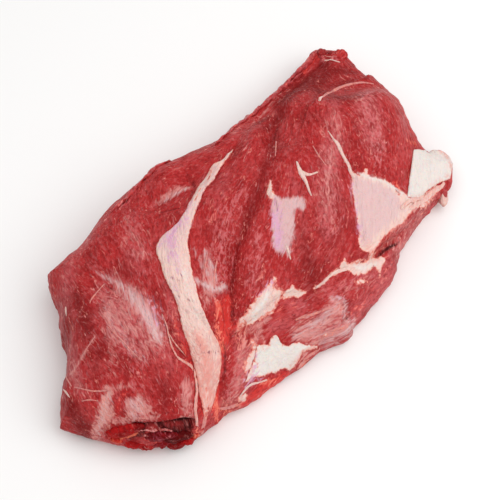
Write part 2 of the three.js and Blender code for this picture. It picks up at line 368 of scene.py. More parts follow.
# Silverskin: the silver patch, the lavender patch, the ridge and the thin skins that shine on the left block.
SILVER_STROKES = (
    Stroke(((110, -28), (120, -34), (130, -46), (134, -58), (130, -70), (120, -76), (104, -78), (88, -78),
        (76, -78), (82, -66), (91, -51), (98, -41)), 1.0, 4.0, True),
    Stroke(((38, -3), (42, -8), (49, -12), (56, -18), (50, -27), (45, -22), (38, -27), (29, -36), (20, -43),
        (13, -47), (13, -44), (6, -40), (7, -33), (16, -23), (25, -13), (33, -4)), 1.0, 2.6, True),
    Stroke(((-114, 26, 1.6), (-114, 6, 3.8), (-117, -14, 5.0), (-121, -32, 3.8)), 0.84, 6.0),
    Stroke(((-134, 24, 1.6), (-141, 4, 3.0), (-144, -20, 3.0), (-141, -40, 2.0)), 0.4, 6.0),
    Stroke(((-50, 4, 0.8), (-53, -8, 1.2), (-56, -20, 1.2)), 0.8, 2.5),
    Stroke(((-24, -95, 2.0), (-8, -97, 4.0), (6, -100, 4.5), (18, -101, 3.5), (25, -99, 1.5)), 0.55, 4.0),
    Stroke(((20, -94, 0.8), (27, -98, 1.6), (29, -104, 1.8), (23, -109, 1.4)), 0.7, 2.5),
    Stroke(((-5, -109, 2.0), (9, -114, 3.0), (17, -117, 3.0), (25, -117, 3.0), (32, -114, 2.0)), 0.7, 3.0),
    Stroke(((-120, 50, 0.6), (-117, 40, 1.6), (-114, 27, 2.0), (-112, 18, 1.6)), 0.8, 3.0),
    Stroke(((-68, -13, 1.0), (-65, -21, 1.8), (-61, -29, 2.4), (-56, -34, 2.0), (-48, -34, 1.4)), 0.9, 3.0),
    Stroke(((-178, -32, 2.0), (-184, -39, 3.6), (-192, -43, 4.0), (-202, -46, 3.0)), 0.5, 5.0),
    Stroke(((-171, -53, 1.5), (-167, -59, 3.6), (-173, -62, 3.0)), 0.68, 5.0),
    Stroke(((-43, -3, 0.6), (-47, -14, 1.2), (-51, -23, 1.4), (-54, -29, 1.0)), 0.8, 2.5),
    Stroke(((-8, -106, 1.5), (2, -110, 2.0), (11, -114, 1.6), (19, -116, 1.6), (27, -113, 1.5)), 0.6, 3.0),
    Stroke(((-36, 63, 1.0), (-23, 61, 2.0), (-12, 58, 1.6)), 0.6, 3.0),
)
# The lavender in the silverskin.
TINT_STROKES = (
    Stroke(((36, -5, 2.0), (30, -13, 5.0), (20, -26, 5.0), (11, -38, 4.0)), 0.75, 5.0),
    Stroke(((113, -24, 1.0), (106, -33, 2.6), (98, -43, 3.0), (90, -54, 3.0), (80, -68, 3.0),
        (75, -78, 2.0)), 0.6, 5.0),
    Stroke(((-14, -55, 1.0), (-22, -57, 3.0), (-30, -59, 3.0)), 0.7, 4.0),
    Stroke(((-72, -90), (-63, -93), (-60, -102), (-67, -102), (-75, -101), (-84, -101), (-86, -97),
        (-79, -94)), 0.6, 4.0, True),
    Stroke(((-104, -1, 1.0), (-110, -18, 4.0), (-116, -32, 1.0)), 0.55, 5.0),
    Stroke(((20, -98, 2.0), (26, -97, 3.0), (30, -100, 2.0)), 0.4, 4.0),
)
# Thin membrane: patches and threads on the left block, the arc beside the strap and the near side's skins.
VEIL_STROKES = (
    Stroke(((-114, 36), (-111, 23), (-106, 12), (-105, 2), (-103, -6), (-108, -20), (-113, -34), (-122, -41),
        (-127, -37), (-129, -29), (-126, -21), (-124, -9), (-128, 3), (-124, 13), (-120, 22)), 0.8, 8.0,
        True),
    Stroke(((-125, 40), (-116, 22), (-107, 1), (-105, -17), (-112, -38), (-126, -48), (-138, -34),
        (-150, -15), (-150, 7), (-140, 26)), 0.5, 12.0, True),
    Stroke(((-142, 20), (-132, 17), (-129, 2), (-126, -11), (-129, -22), (-137, -23), (-143, -15),
        (-154, -17), (-166, -26), (-171, -24), (-158, -12), (-150, 3)), 0.62, 7.0, True),
    Stroke(((-175, -37), (-182, -42), (-186, -50), (-195, -48), (-204, -46), (-207, -42), (-196, -40),
        (-191, -36), (-186, -33), (-179, -33)), 1.0, 3.0, True),
    Stroke(((-171, -51), (-165, -55), (-161, -55), (-160, -65), (-161, -70), (-166, -71), (-173, -64),
        (-180, -60), (-176, -54)), 0.95, 3.0, True),
    Stroke(((-188, -52, 1.6), (-180, -60, 2.6), (-170, -68, 2.4), (-160, -77, 1.4)), 0.85, 2.5),
    Stroke(((-131, -71), (-123, -70), (-123, -75), (-130, -85), (-139, -93), (-145, -90), (-140, -82)), 0.8,
        4.0, True),
    Stroke(((-158, 5, 0.9), (-168, 4, 1.1), (-178, 3, 1.5), (-189, 3, 1.6)), 0.85, 2.5),
    Stroke(((-146, 4, 1.0), (-145, -9, 1.6), (-144, -26, 1.6), (-143, -36, 1.0)), 0.8, 2.5),
    Stroke(((-178, -30, 1.8), (-169, -39, 1.8), (-162, -45, 1.0)), 0.85, 2.5),
    Stroke(((-38, 66, 2.4), (-28, 65, 3.6), (-18, 63, 4.0), (-10, 59, 2.7)), 0.9, 3.5),
    Stroke(((-43, -4, 1.8), (-48, -12, 3.6), (-53, -21, 5.4), (-59, -29, 6.8), (-67, -34, 5.4),
        (-73, -37, 2.7)), 0.8, 5.0),
    Stroke(((-63, -64, 2.0), (-62, -74, 5.0), (-64, -86, 6.0), (-76, -92, 6.0), (-92, -97, 4.0)), 0.6, 6.0),
    Stroke(((-52, -70, 3.0), (-44, -73, 4.0), (-56, -80, 3.0)), 0.85, 4.0),
    Stroke(((42, -10, 3.0), (50, -18, 6.0), (55, -20, 2.7)), 0.75, 4.0),
    Stroke(((-24, -94), (-16, -94), (-3, -99), (8, -101), (17, -100), (19, -95), (24, -96), (29, -101),
        (27, -105), (20, -108), (11, -109), (2, -108), (-7, -107), (-17, -103), (-23, -99)), 1.0, 4.0, True),
    Stroke(((135, -70, 5.0), (124, -78, 4.0), (106, -80, 3.0)), 0.9, 3.0),
    Stroke(((-31, -73, 1.0), (-36, -72, 1.3), (-42, -72, 1.3), (-46, -76, 1.3), (-47, -82, 1.0)), 1.0, 2.0),
    Stroke(((60, 82, 1.0), (79, 90, 1.8), (100, 94, 2.0), (128, 94, 1.6), (146, 101, 1.8), (176, 110, 2.0)),
        0.55, 3.0),
    Stroke(((-25, -90, 0.8), (-12, -90, 0.8), (2, -94, 0.8), (16, -99, 0.8)), 0.8, 2.0),
    Stroke(((30, -96, 4.0), (60, -100, 4.0), (84, -104, 3.0)), 0.35, 6.0),
    Stroke(((140, 28, 5.0), (122, 10, 7.0), (104, -4, 8.0), (86, -19, 6.0), (60, -44, 5.0)), 0.55, 9.0),
    Stroke(((-172, 40, 4.0), (-146, 64, 6.0), (-112, 82, 5.0)), 0.32, 8.0),
    Stroke(((-174, 24, 3.0), (-186, 4, 5.0), (-194, -20, 4.0)), 0.5, 7.0),
    Stroke(((-70, 70, 6.0), (-80, 48, 9.0), (-84, 28, 6.0)), 0.4, 10.0),
    Stroke(((172, 24, 6.0), (158, -2, 9.0), (150, -24, 5.0)), 0.36, 10.0),
    Stroke(((104, -92, 5.0), (127, -87, 5.0), (150, -80, 4.0)), 0.5, 6.0),
    Stroke(((56, 80, 4.0), (94, 84, 5.0), (124, 90, 4.0)), 0.4, 6.0),
    Stroke(((-85, -4, 3.0), (-92, -14, 4.0), (-100, -27, 4.0)), 0.45, 6.0),
    Stroke(((-64, -76, 3.0), (-72, -84, 5.0), (-84, -92, 6.0), (-98, -98, 4.0)), 0.62, 6.0),
    Stroke(((-30, -108, 2.0), (-12, -106, 3.0), (4, -108, 3.0), (22, -112, 3.0)), 0.8, 5.0),
    Stroke(((-8, -105, 2.0), (2, -109, 3.0), (11, -114, 2.4), (19, -116, 2.4), (27, -113, 2.0)), 0.9, 4.0),
)
# Bright wet meat: the bed of the strap, the torn far edge, the right end and the lips of the near side.
WET_STROKES = (
    Stroke(((-64, -40), (-59, -42), (-48, -37), (-50, -45), (-61, -57), (-57, -63), (-66, -62), (-74, -66),
        (-79, -65), (-76, -55)), 1.0, 3.0, True),
    Stroke(((-94, -17, 1.8), (-103, -35, 3.0), (-108, -53, 3.6), (-115, -74, 3.0), (-122, -85, 3.0),
        (-130, -97, 3.6)), 0.55, 3.0),
    Stroke(((-104, -84, 2.4), (-111, -92, 3.4), (-118, -99, 3.0)), 1.0, 3.0),
    Stroke(((-52, 92, 1.4), (-38, 95, 2.0), (-25, 96, 2.7), (-7, 97, 2.2), (2, 95, 1.1)), 0.6, 4.0),
    Stroke(((60, 84, 3.0), (98, 92, 3.0), (128, 96, 3.0), (163, 106, 4.0), (200, 112, 6.0)), 0.6, 5.0),
    Stroke(((-164, -49, 1.4), (-168, -46, 2.0), (-175, -45, 2.2), (-181, -50, 2.4), (-186, -53, 1.6)), 0.5,
        2.5),
    Stroke(((-198, -56, 2.0), (-188, -66, 3.0), (-176, -76, 3.0), (-160, -90, 4.0), (-140, -98, 4.0)), 0.45,
        4.0),
    Stroke(((94, -90, 2.0), (108, -90, 2.6), (124, -87, 3.0)), 0.45, 4.0),
    Stroke(((-6, -78, 2.0), (-20, -76, 3.0), (-34, -76, 2.0)), 0.4, 4.0),
    Stroke(((-92, -105, 3.0), (-80, -106, 4.5), (-69, -107, 5.0), (-55, -109, 4.5), (-41, -112, 3.0)), 0.75,
        3.0),
    Stroke(((12, -116), (5, -112), (-8, -109), (-15, -103), (-3, -107), (10, -110), (18, -113), (22, -116)),
        0.7, 3.0, True),
    Stroke(((222, 30, 2.0), (214, 4, 3.0), (204, -14, 4.0), (198, -24, 4.0)), 0.6, 5.0),
    Stroke(((143, -50, 2.0), (141, -56, 2.4), (140, -61, 1.4)), 0.8, 2.5),
    Stroke(((31, -109, 2.0), (52, -108, 3.0), (76, -103, 3.0), (94, -98, 3.0)), 0.45, 5.0),
    Stroke(((-95, -80, 2.0), (-84, -72, 2.5), (-80, -64, 3.0)), 0.7, 3.0),
)
# Thin edges beside the strap and at the cut end that let the light through.
EMBER_STROKES = (
    Stroke(((-64, -43, 1.6), (-71, -50, 3.0)), 0.8, 5.0),
    Stroke(((-75, -56, 3.0), (-82, -63, 3.0), (-79, -67, 1.6)), 0.9, 5.0),
    Stroke(((-109, -87, 1.4), (-112, -92, 2.0), (-114, -97, 2.2), (-119, -101, 1.4)), 1.0, 2.5),
    Stroke(((186, -25, 1.0), (190, -26, 1.6), (196, -27, 1.0)), 0.8, 2.5),
    Stroke(((143, -51, 1.0), (142, -56, 1.6), (141, -60, 0.8)), 0.9, 2.5),
    Stroke(((-60, -66, 3.0), (-66, -70, 4.0), (-60, -78, 3.0)), 0.75, 5.0),
    Stroke(((-111, -100, 1.0), (-104, -102, 1.4), (-97, -103, 1.0)), 0.8, 2.0),
    Stroke(((-69, -104, 1.2), (-60, -106, 1.6), (-52, -107, 1.2)), 0.8, 2.5),
    Stroke(((-30, -110, 1.0), (-27, -111, 1.4), (-22, -111, 1.0)), 0.8, 2.0),
    Stroke(((-104, -34, 0.8), (-110, -50, 1.2), (-107, -60, 0.8)), 0.5, 2.5),
    Stroke(((-142, -99, 1.0), (-139, -101, 1.6), (-136, -102, 1.0)), 0.6, 2.0),
)
# Darker lean meat, partly painted shade: the far hollow, the muscles' valleys and the left block's fields.
SHADE_STROKES = (
    Stroke(((125, 82, 8.0), (155, 86, 12.0), (182, 90, 13.0), (203, 100, 6.0)), 0.95, 8.0),
    Stroke(((168, 74, 4.0), (196, 68, 5.0), (212, 56, 3.0)), 0.7, 6.0),
    Stroke(((89, 64, 5.0), (110, 71, 7.0), (124, 76, 7.0), (141, 80, 6.0)), 0.85, 6.0),
    Stroke(((109, 72, 3.0), (87, 52, 3.5), (58, 31, 4.5), (29, 11, 5.5), (2, -5, 5.0), (-15, -16, 3.0)), 0.9,
        7.0),
    Stroke(((-200, 6, 6.0), (-184, 22, 9.0), (-168, 38, 11.0), (-154, 60, 8.0)), 0.8, 12.0),
    Stroke(((-144, 50, 4.0), (-152, 30, 7.0), (-159, 14, 6.0)), 0.95, 9.0),
    Stroke(((-150, 0, 4.0), (-164, -8, 7.0), (-176, -14, 6.0)), 0.75, 8.0),
    Stroke(((-206, -9, 4.5), (-207, -24, 7.2), (-208, -36, 6.3)), 0.9, 5.0),
    Stroke(((-146, -52, 2.7), (-143, -63, 7.0), (-147, -71, 7.0), (-152, -76, 4.5)), 0.6, 6.0),
    Stroke(((100, 8, 5.0), (88, -18, 6.0), (74, -42, 8.0), (58, -62, 8.0), (30, -72, 5.0)), 0.55, 9.0),
    Stroke(((-60, 74, 4.0), (-44, 82, 5.0), (-20, 84, 5.0)), 0.3, 7.0),
    Stroke(((-28, 30, 3.0), (-8, 42, 4.0), (18, 46, 4.0), (44, 56, 4.0)), 0.4, 8.0),
    Stroke(((88, 75, 3.0), (97, 77, 3.5), (106, 77, 2.5)), 1.0, 4.0),
    Stroke(((-102, 36, 2.0), (-96, 12, 3.0), (-92, -8, 2.0)), 0.4, 7.0),
    Stroke(((183, -74, 2.4), (169, -77, 3.0), (154, -81, 3.4), (141, -83, 3.4), (131, -86, 3.0)), 0.4, 3.0),
    Stroke(((171, 105, 4.0), (164, 78, 8.0), (157, 49, 7.0), (168, 36, 6.0), (184, 33, 5.0)), 0.95, 8.0),
    Stroke(((164, 66, 5.0), (182, 66, 6.0), (200, 62, 5.0)), 0.8, 6.0),
    Stroke(((36, -36, 4.0), (28, -54, 7.0), (20, -70, 6.0), (8, -84, 4.0)), 0.7, 8.0),
    Stroke(((-156, 22, 5.0), (-166, 2, 6.0), (-176, -14, 6.0), (-182, -26, 4.0)), 0.6, 8.0),
    Stroke(((150, 92, 5.0), (176, 92, 8.0), (200, 84, 7.0), (214, 70, 4.0)), 0.8, 7.0),
    Stroke(((-152, -57, 4.0), (-146, -70, 5.0), (-140, -80, 4.0)), 0.35, 6.0),
    Stroke(((-12, -13, 1.5), (-30, -25, 2.4), (-46, -40, 2.4), (-60, -56, 2.0)), 0.6, 4.0),
    Stroke(((-190, -56, 3.0), (-176, -68, 4.0), (-160, -82, 4.0), (-146, -92, 3.0)), 0.5, 4.0),
)
# Painted shade in the seams, slits and small holes.
DEEP_SHADE_STROKES = (
    Stroke(((-15, -15, 0.3), (-28, -23, 1.0), (-37, -31, 1.3), (-46, -40, 1.5), (-54, -49, 1.6),
        (-61, -57, 1.4)), 0.7, 2.6),
    Stroke(((104, 70, 0.4), (90, 58, 0.8), (76, 44, 0.8), (62, 31, 0.5)), 0.45, 3.0),
    Stroke(((166, 90, 3.0), (187, 86, 5.0), (204, 78, 3.0)), 0.36, 7.0),
    Stroke(((100, 61, 0.8), (90, 54, 1.0), (78, 45, 0.6)), 0.7, 2.2),
    Stroke(((-46, 54, 0.8), (-41, 49, 1.0), (-33, 43, 0.8)), 0.8, 1.8),
    Stroke(((7, 81, 0.6), (1, 73, 0.8), (-2, 64, 1.2), (-6, 54, 1.4), (-17, 47, 1.2), (-28, 43, 0.8)), 0.7,
        2.4),
    Stroke(((-122, 38, 0.5), (-121, 28, 0.7), (-120, 16, 0.4)), 0.8, 1.4),
    Stroke(((77, -91, 1.0), (85, -89, 1.8), (95, -88, 2.2), (105, -88, 2.0), (115, -88, 0.9)), 0.85, 2.0),
    Stroke(((18, -112, 0.7), (24, -111, 1.4), (31, -109, 0.7)), 0.9, 1.8),
    Stroke(((-78, -65, 0.8), (-81, -70, 1.2), (-86, -76, 1.4), (-93, -83, 1.2), (-98, -86, 0.6)), 0.8, 2.0),
    Stroke(((-84, -42, 0.6), (-83, -54, 1.0), (-82, -62, 0.8)), 0.5, 2.0),
    Stroke(((-171, -74, 0.8), (-165, -80, 1.4), (-157, -87, 1.4)), 0.8, 2.0),
    Stroke(((-186, -68, 1.4), (-178, -73, 1.8), (-172, -77, 1.2)), 0.8, 2.4),
    Stroke(((-68, -57, 0.8), (-66, -59, 1.4), (-67, -62, 0.8)), 0.6, 1.8),
    Stroke(((103, 86, 0.8), (120, 90, 1.2), (136, 95, 1.2), (152, 101, 1.2), (170, 104, 0.8)), 0.5, 2.4),
    Stroke(((-163, -81), (-152, -86), (-140, -92), (-137, -97), (-145, -98), (-154, -95), (-163, -88)), 1.0,
        2.5, True),
    Stroke(((-142, -64, 0.8), (-139, -65, 0.8)), 0.7, 1.6),
    Stroke(((-150, -73, 0.9), (-149, -74, 0.9)), 0.6, 1.6),
    Stroke(((-164, -50, 0.5), (-169, -48, 0.8), (-174, -48, 0.5)), 0.6, 1.6),
    Stroke(((203, 114, 0.8), (208, 109, 1.2), (216, 105, 0.8)), 0.6, 2.4),
    Stroke(((-107, -32, 0.5), (-113, -45, 0.7), (-115, -54, 0.7), (-111, -64, 0.7), (-113, -74, 0.6)), 0.5,
        1.6),
    Stroke(((-60, -43, 0.4), (-66, -52, 0.8), (-71, -62, 0.6)), 0.7, 1.6),
    Stroke(((-54, -46, 0.4), (-60, -55, 0.7), (-66, -64, 0.5)), 0.7, 1.6),
    Stroke(((-72, -43, 0.4), (-78, -52, 0.6), (-84, -60, 0.5)), 0.6, 1.5),
)
# Paler lean meat and painted sheen: the muscles' swellings, both sides of the strap and the rounded edges.
FLESH_AND_SHEEN_STROKES = (
    Stroke(((120, 14, 4.0), (104, -8, 8.0), (88, -34, 7.0), (76, -52, 4.0)), 0.55, 9.0),
    Stroke(((186, 34, 7.0), (172, 16, 12.0), (158, -4, 10.0), (146, -20, 6.0)), 0.8, 9.0),
    Stroke(((-64, 66, 5.0), (-84, 44, 9.0), (-94, 22, 7.0)), 0.6, 9.0),
    Stroke(((-15, -72, 2.0), (-4, -82, 5.0), (-16, -84, 6.0), (-34, -80, 5.0)), 0.95, 5.0),
    Stroke(((66, 9, 3.0), (56, -9, 4.0), (46, -25, 5.0), (39, -41, 4.0)), 0.7, 6.0),
    Stroke(((-114, 40, 2.0), (-114, 14, 4.0), (-118, -20, 5.0), (-121, -43, 3.0)), 0.8, 7.0),
    Stroke(((-170, 44, 4.0), (-146, 64, 6.0), (-120, 82, 6.0), (-90, 90, 5.0)), 0.9, 9.0),
    Stroke(((-174, 24, 4.0), (-186, 4, 5.0), (-194, -20, 4.0)), 0.8, 7.0),
    Stroke(((-66, 88, 4.0), (-30, 94, 5.0), (6, 95, 4.0)), 0.8, 6.0),
    Stroke(((-66, -70, 4.0), (-72, -84, 7.0), (-88, -94, 5.0)), 0.9, 5.0),
    Stroke(((84, -98, 6.0), (50, -94, 6.0), (20, -90, 5.0), (-12, -84, 3.0)), 0.55, 7.0),
    Stroke(((24, 22, 4.0), (4, 10, 6.0), (-16, -4, 6.0)), 0.35, 8.0),
    Stroke(((0, -24, 3.0), (-16, -38, 5.0), (-34, -52, 4.0)), 0.4, 7.0),
    Stroke(((200, -6, 4.0), (188, -16, 4.0), (170, -30, 4.0)), 0.5, 6.0),
    Stroke(((-30, 108, 3.0), (10, 104, 3.0), (50, 96, 3.0)), 0.5, 5.0),
    Stroke(((110, -92, 2.0), (124, -88, 3.0), (145, -84, 3.0), (165, -80, 2.4)), 0.8, 4.0),
    Stroke(((150, 40, 4.0), (137, 25, 7.0), (120, 9, 8.0), (103, -5, 8.0), (90, -16, 6.0)), 1.0, 9.0),
    Stroke(((90, -16, 6.0), (74, -30, 7.0), (58, -46, 7.0), (50, -56, 4.0)), 1.0, 7.0),
    Stroke(((28, 46, 4.0), (8, 34, 8.0), (-8, 20, 7.0), (-20, 6, 4.0)), 0.5, 9.0),
    Stroke(((-66, 66, 4.0), (-78, 48, 9.0), (-82, 30, 7.0)), 0.6, 9.0),
    Stroke(((89, 5, 3.0), (76, -12, 4.0), (61, -25, 4.0)), 0.6, 6.0),
    Stroke(((-85, -4, 3.0), (-92, -14, 4.0), (-100, -27, 4.0), (-108, -45, 3.0)), 0.7, 6.0),
    Stroke(((-125, 40), (-116, 22), (-107, 1), (-105, -17), (-112, -38), (-126, -60), (-138, -44),
        (-150, -15), (-150, 7), (-140, 26)), 0.75, 12.0, True),
    Stroke(((-47, -33, 4.0), (-56, -49, 4.0), (-66, -63, 4.0)), 0.5, 6.0),
    Stroke(((-112, -94, 2.0), (-98, -100, 4.0), (-84, -104, 3.0)), 0.8, 5.0),
    Stroke(((-8, -104, 3.0), (11, -112, 5.0), (34, -112, 6.0), (66, -108, 6.0), (99, -98, 6.0)), 0.95, 6.0),
    Stroke(((100, -96, 6.0), (130, -89, 6.0), (160, -82, 5.0), (180, -74, 4.0)), 0.8, 6.0),
)
# Short strokes of bundles, their pale flecks partly painted glints: the long muscles' tops and the near side.
GRAIN_STROKES = (
    Stroke(((190, 36, 8.0), (174, 16, 13.0), (158, -6, 12.0), (140, -28, 8.0)), 0.95, 8.0),
    Stroke(((22, 22, 5.0), (2, 12, 8.0), (-22, -4, 9.0), (-44, -24, 8.0)), 1.0, 7.0),
    Stroke(((4, -18, 4.0), (-10, -32, 8.0), (-28, -48, 8.0)), 1.0, 6.0),
    Stroke(((112, 10, 5.0), (92, -16, 8.0), (74, -40, 8.0), (52, -60, 6.0)), 0.8, 7.0),
    Stroke(((-74, 60, 8.0), (-84, 40, 12.0), (-92, 18, 10.0)), 0.6, 10.0),
    Stroke(((-150, 40, 8.0), (-176, 20, 10.0), (-196, -6, 8.0)), 0.35, 10.0),
    Stroke(((-130, 0, 8.0), (-150, -30, 10.0), (-156, -50, 8.0)), 0.6, 10.0),
    Stroke(((70, -98, 7.0), (30, -92, 7.0), (-8, -84, 5.0)), 0.7, 7.0),
    Stroke(((-66, -72, 5.0), (-80, -88, 7.0), (-98, -96, 4.0)), 0.8, 5.0),
    Stroke(((60, 0, 4.0), (40, -20, 5.0), (10, -54, 5.0)), 0.5, 7.0),
)
# Hair lines in the silverskin of the left block and of the lavender patch.
VEIN_STROKES = (
    Stroke(((-105, 0, 0.5), (-111, -12, 0.8), (-116, -25, 0.5)), 0.9, 1.5),
    Stroke(((-101, -4, 0.5), (-107, -15, 0.8), (-114, -28, 0.5)), 0.9, 1.5),
    Stroke(((-100, -10, 0.5), (-105, -21, 0.7), (-113, -33, 0.5)), 0.8, 1.5),
    Stroke(((-108, 4, 0.4), (-115, -10, 0.6), (-119, -22, 0.4)), 0.7, 1.5),
    Stroke(((36, -4, 0.6), (33, -9, 1.4), (30, -13, 1.0)), 0.6, 2.0),
)
MARKS = {
    Tissue.SHADE: SHADE_STROKES,
    Tissue.FLESH_AND_SHEEN: FLESH_AND_SHEEN_STROKES,
    Tissue.GRAIN: GRAIN_STROKES,
    Tissue.WET: WET_STROKES,
    Tissue.EMBER: EMBER_STROKES,
    Tissue.DEEP_SHADE: DEEP_SHADE_STROKES,
    Tissue.VEIL: VEIL_STROKES,
    Tissue.FAT: FAT_STROKES,
    Tissue.WHITE: WHITE_STROKES,
    Tissue.BLUSH: BLUSH_STROKES,
    Tissue.SILVER: SILVER_STROKES,
    Tissue.TINT: TINT_STROKES,
    Tissue.VEIN: VEIN_STROKES,
}

# Direction of the fibres: each place follows the nearest of these lines.
FIBRE_LINES = (
    Curve(((95, 82), (77, 63), (40, 44), (0, 25), (-28, 4), (-49, -19), (-66, -48))),
    Curve(((135, 84), (121, 71), (83, 34), (42, -2), (7, -27), (-26, -48), (-60, -66))),
    Curve(((140, 56), (130, 43), (104, 7), (80, -29), (60, -54), (34, -67))),
    Curve(((182, 70), (172, 40), (166, 10), (150, -20), (128, -46), (100, -72))),
    Curve(((-60, 96), (-78, 74), (-88, 46), (-100, 20), (-112, -6))),
    Curve(((-138, 60), (-140, 30), (-142, 0), (-146, -30), (-156, -66))),
    Curve(((-160, 70), (-176, 40), (-196, 6), (-210, -30))),
    Curve(((90, -96), (40, -98), (0, -92), (-40, -86), (-80, -92))),
    Curve(((20, 96), (70, 88), (120, 96), (180, 106))),
    Curve(((-57, 21), (-70, 3), (-80, -22), (-89, -45), (-96, -66), (-109, -81))),
)


@dataclass(frozen=True)
class Form:
    """The plain form: the widest line in four sides, the height of the top and the rounded edges, in mm.

    Attributes:
        near, right, far, left: x, y and the height at which that side bulges out furthest.
        tops: x, y and height of the top at the places that set the thickness.
        spread: how far each of those places reaches.
        shoulder, heel: width of the rounded edge above and below the widest line.
        under: the belly would reach this far below the floor.
        side_angle: part of the rounded edge that the sides of the divided box cover, in degrees.
    """

    near: Points = (
        (-222, -18, 16),
        (-205, -46, 13),
        (-189, -67, 12),
        (-174, -82, 13),
        (-154, -94, 14),
        (-139, -101, 12),
        (-124, -102, 11),
        (-108, -101, 10),
        (-90, -105, 9),
        (-71, -109, 9),
        (-28, -112, 9),
        (-5, -112, 9),
        (17, -120, 9),
        (32, -115, 9),
        (50, -114, 9),
        (77, -109, 10),
        (91, -105, 10),
        (118, -90, 10),
        (140, -84, 11),
        (162, -80, 12),
        (180, -77, 12),
        (202, -71, 13),
        (218, -57, 15),
    )
    right: Points = (
        (218, -57, 15),
        (212, -45, 17),
        (206, -30, 20),
        (209, -13, 24),
        (213, -2, 26),
        (219, 16, 28),
        (223, 38, 28),
        (222, 66, 26),
        (226, 85, 24),
        (227, 100, 24),
        (223, 108, 25),
    )
    far: Points = (
        (-146, 95, 30),
        (-128, 94, 34),
        (-111, 91, 38),
        (-94, 96, 42),
        (-74, 102, 45),
        (-33, 105, 48),
        (-13, 108, 48),
        (15, 101, 48),
        (48, 94, 46),
        (80, 96, 44),
        (114, 100, 40),
        (151, 107, 36),
        (183, 115, 30),
        (207, 121, 26),
        (223, 108, 25),
    )
    left: Points = (
        (-222, -18, 16),
        (-205, 2, 20),
        (-185, 19, 24),
        (-172, 44, 26),
        (-161, 62, 28),
        (-154, 81, 29),
        (-146, 95, 30),
    )
    tops: Points = (
        (-137, -10, 80),
        (-150, 44, 64),
        (-196, -26, 50),
        (-155, -61, 60),
        (-139, -87, 60),
        (-72, 62, 86),
        (-72, 88, 74),
        (-83, -31, 94),
        (-106, -78, 74),
        (-131, -102, 50),
        (-33, 34, 93),
        (-27, 7, 95),
        (-60, -31, 84),
        (17, -9, 90),
        (-23, -52, 76),
        (66, -36, 84),
        (23, -70, 66),
        (156, 5, 74),
        (111, -62, 58),
        (35, 74, 80),
        (120, 86, 62),
        (189, 85, 44),
        (209, 107, 32),
        (190, -57, 28),
        (-4, -87, 44),
        (71, -99, 34),
        (-36, -100, 28),
        (-67, -106, 15),
        (-73, -78, 48),
        (-98, -95, 26),
    )
    spread: float = 26.0
    shoulder: float = 34.0
    heel: float = 26.0
    under: float = 4.0
    side_angle: float = 55.0

    def rim(self) -> Array:
        """The whole widest line, once round."""
        sides = (self.near, self.right, self.far, self.left)
        near, right, far, left = (Curve(side).samples() for side in sides)
        return np.vstack([near, right, far[::-1], left[::-1]])

    def side(self, points: Points, share: Array, inset: Array) -> Array:
        """Places on one side, moved in towards the middle.

        Args:
            points: the side.
            share: where along the side, from 0 to 1.
            inset: how far in, in mm.

        Returns:
            x and y, one place a row.
        """
        place = Curve(points).place(share)[0][:, :2]
        return place * (1 - inset / np.hypot(place[:, 0], place[:, 1]))[:, None]

    def patch(self, along: Array, across: Array, inset: Array) -> Array:
        """Places inside the widest line, blended from its four sides.

        Args:
            along: from 0 at the left side to 1 at the right side.
            across: from 0 at the near side to 1 at the far side.
            inset: how far the sides are moved in, in mm.

        Returns:
            x and y, one place a row.
        """
        a, b = along[:, None], across[:, None]
        none, whole = np.zeros_like(along), np.ones_like(along)
        sides = self.side(self.near, along, inset) * (1 - b) + self.side(self.far, along, inset) * b
        sides += self.side(self.left, across, inset) * (1 - a) + self.side(self.right, across, inset) * a
        corners = self.side(self.near, none, inset) * (1 - a) * (1 - b)
        corners += self.side(self.near, whole, inset) * a * (1 - b)
        corners += self.side(self.far, none, inset) * (1 - a) * b
        corners += self.side(self.far, whole, inset) * a * b
        return sides - corners

    def crown(self, places: Array) -> Array:
        """Find the height that the piece would have without its rounded edge.

        Args:
            places: x and y in mm, one place a row.

        Returns:
            Height in mm, one value a place.
        """
        total, weights = np.zeros(len(places)), np.zeros(len(places))
        for x, y, height in self.tops:
            squared = (places[:, 0] - x) ** 2 + (places[:, 1] - y) ** 2
            weight = np.exp(-squared / (2 * self.spread ** 2))
            total += weight * height
            weights += weight
        return total / weights

    def place(self, box: Array) -> Array:
        """Draw the places of a box from -1 to 1 out to the plain form.

        Args:
            box: places on the box, one a row.

        Returns:
            Their places on the form, in mm.
        """
        top = box[:, 2] > 0
        edge = np.where(top, self.shoulder, self.heel)
        inset = edge * (1 - np.cos(np.abs(box[:, 2]) * math.radians(self.side_angle)))
        flat = self.patch((box[:, 0] + 1) / 2, (box[:, 1] + 1) / 2, inset)
        near = beside(self.rim(), flat)
        share = np.minimum(near[0] / edge, 1.0)
        rise = np.sqrt(1 - (1 - share) ** 2)
        goal = np.where(top, self.crown(flat), -self.under)
        return np.column_stack([flat, near[1] + (goal - near[1]) * rise])


@dataclass(frozen=True)
class Fold:
    """A soft ridge or, where its height is less than 0, a crease.

    Attributes:
        points: its line, with half widths in mm unless it has one half width.
        height: how far its middle stands out, in mm.
        half: its one half width in mm.
    """

    points: Points
    height: float
    half: float = 0.0

    def rise(self, places: Array) -> Array:
        """Find how far it lifts some places.

        Args:
            places: places in mm, one a row.

        Returns:
            Lift in mm, one value a place.
        """
        widest = self.half or max(point[2] for point in self.points)
        near = Curve(self.points).nearby(places, FOLD_REACH * widest)
        half = self.half or np.maximum(near.value, THINNEST)
        return self.height * np.exp(-(near.distance / half) ** 2)


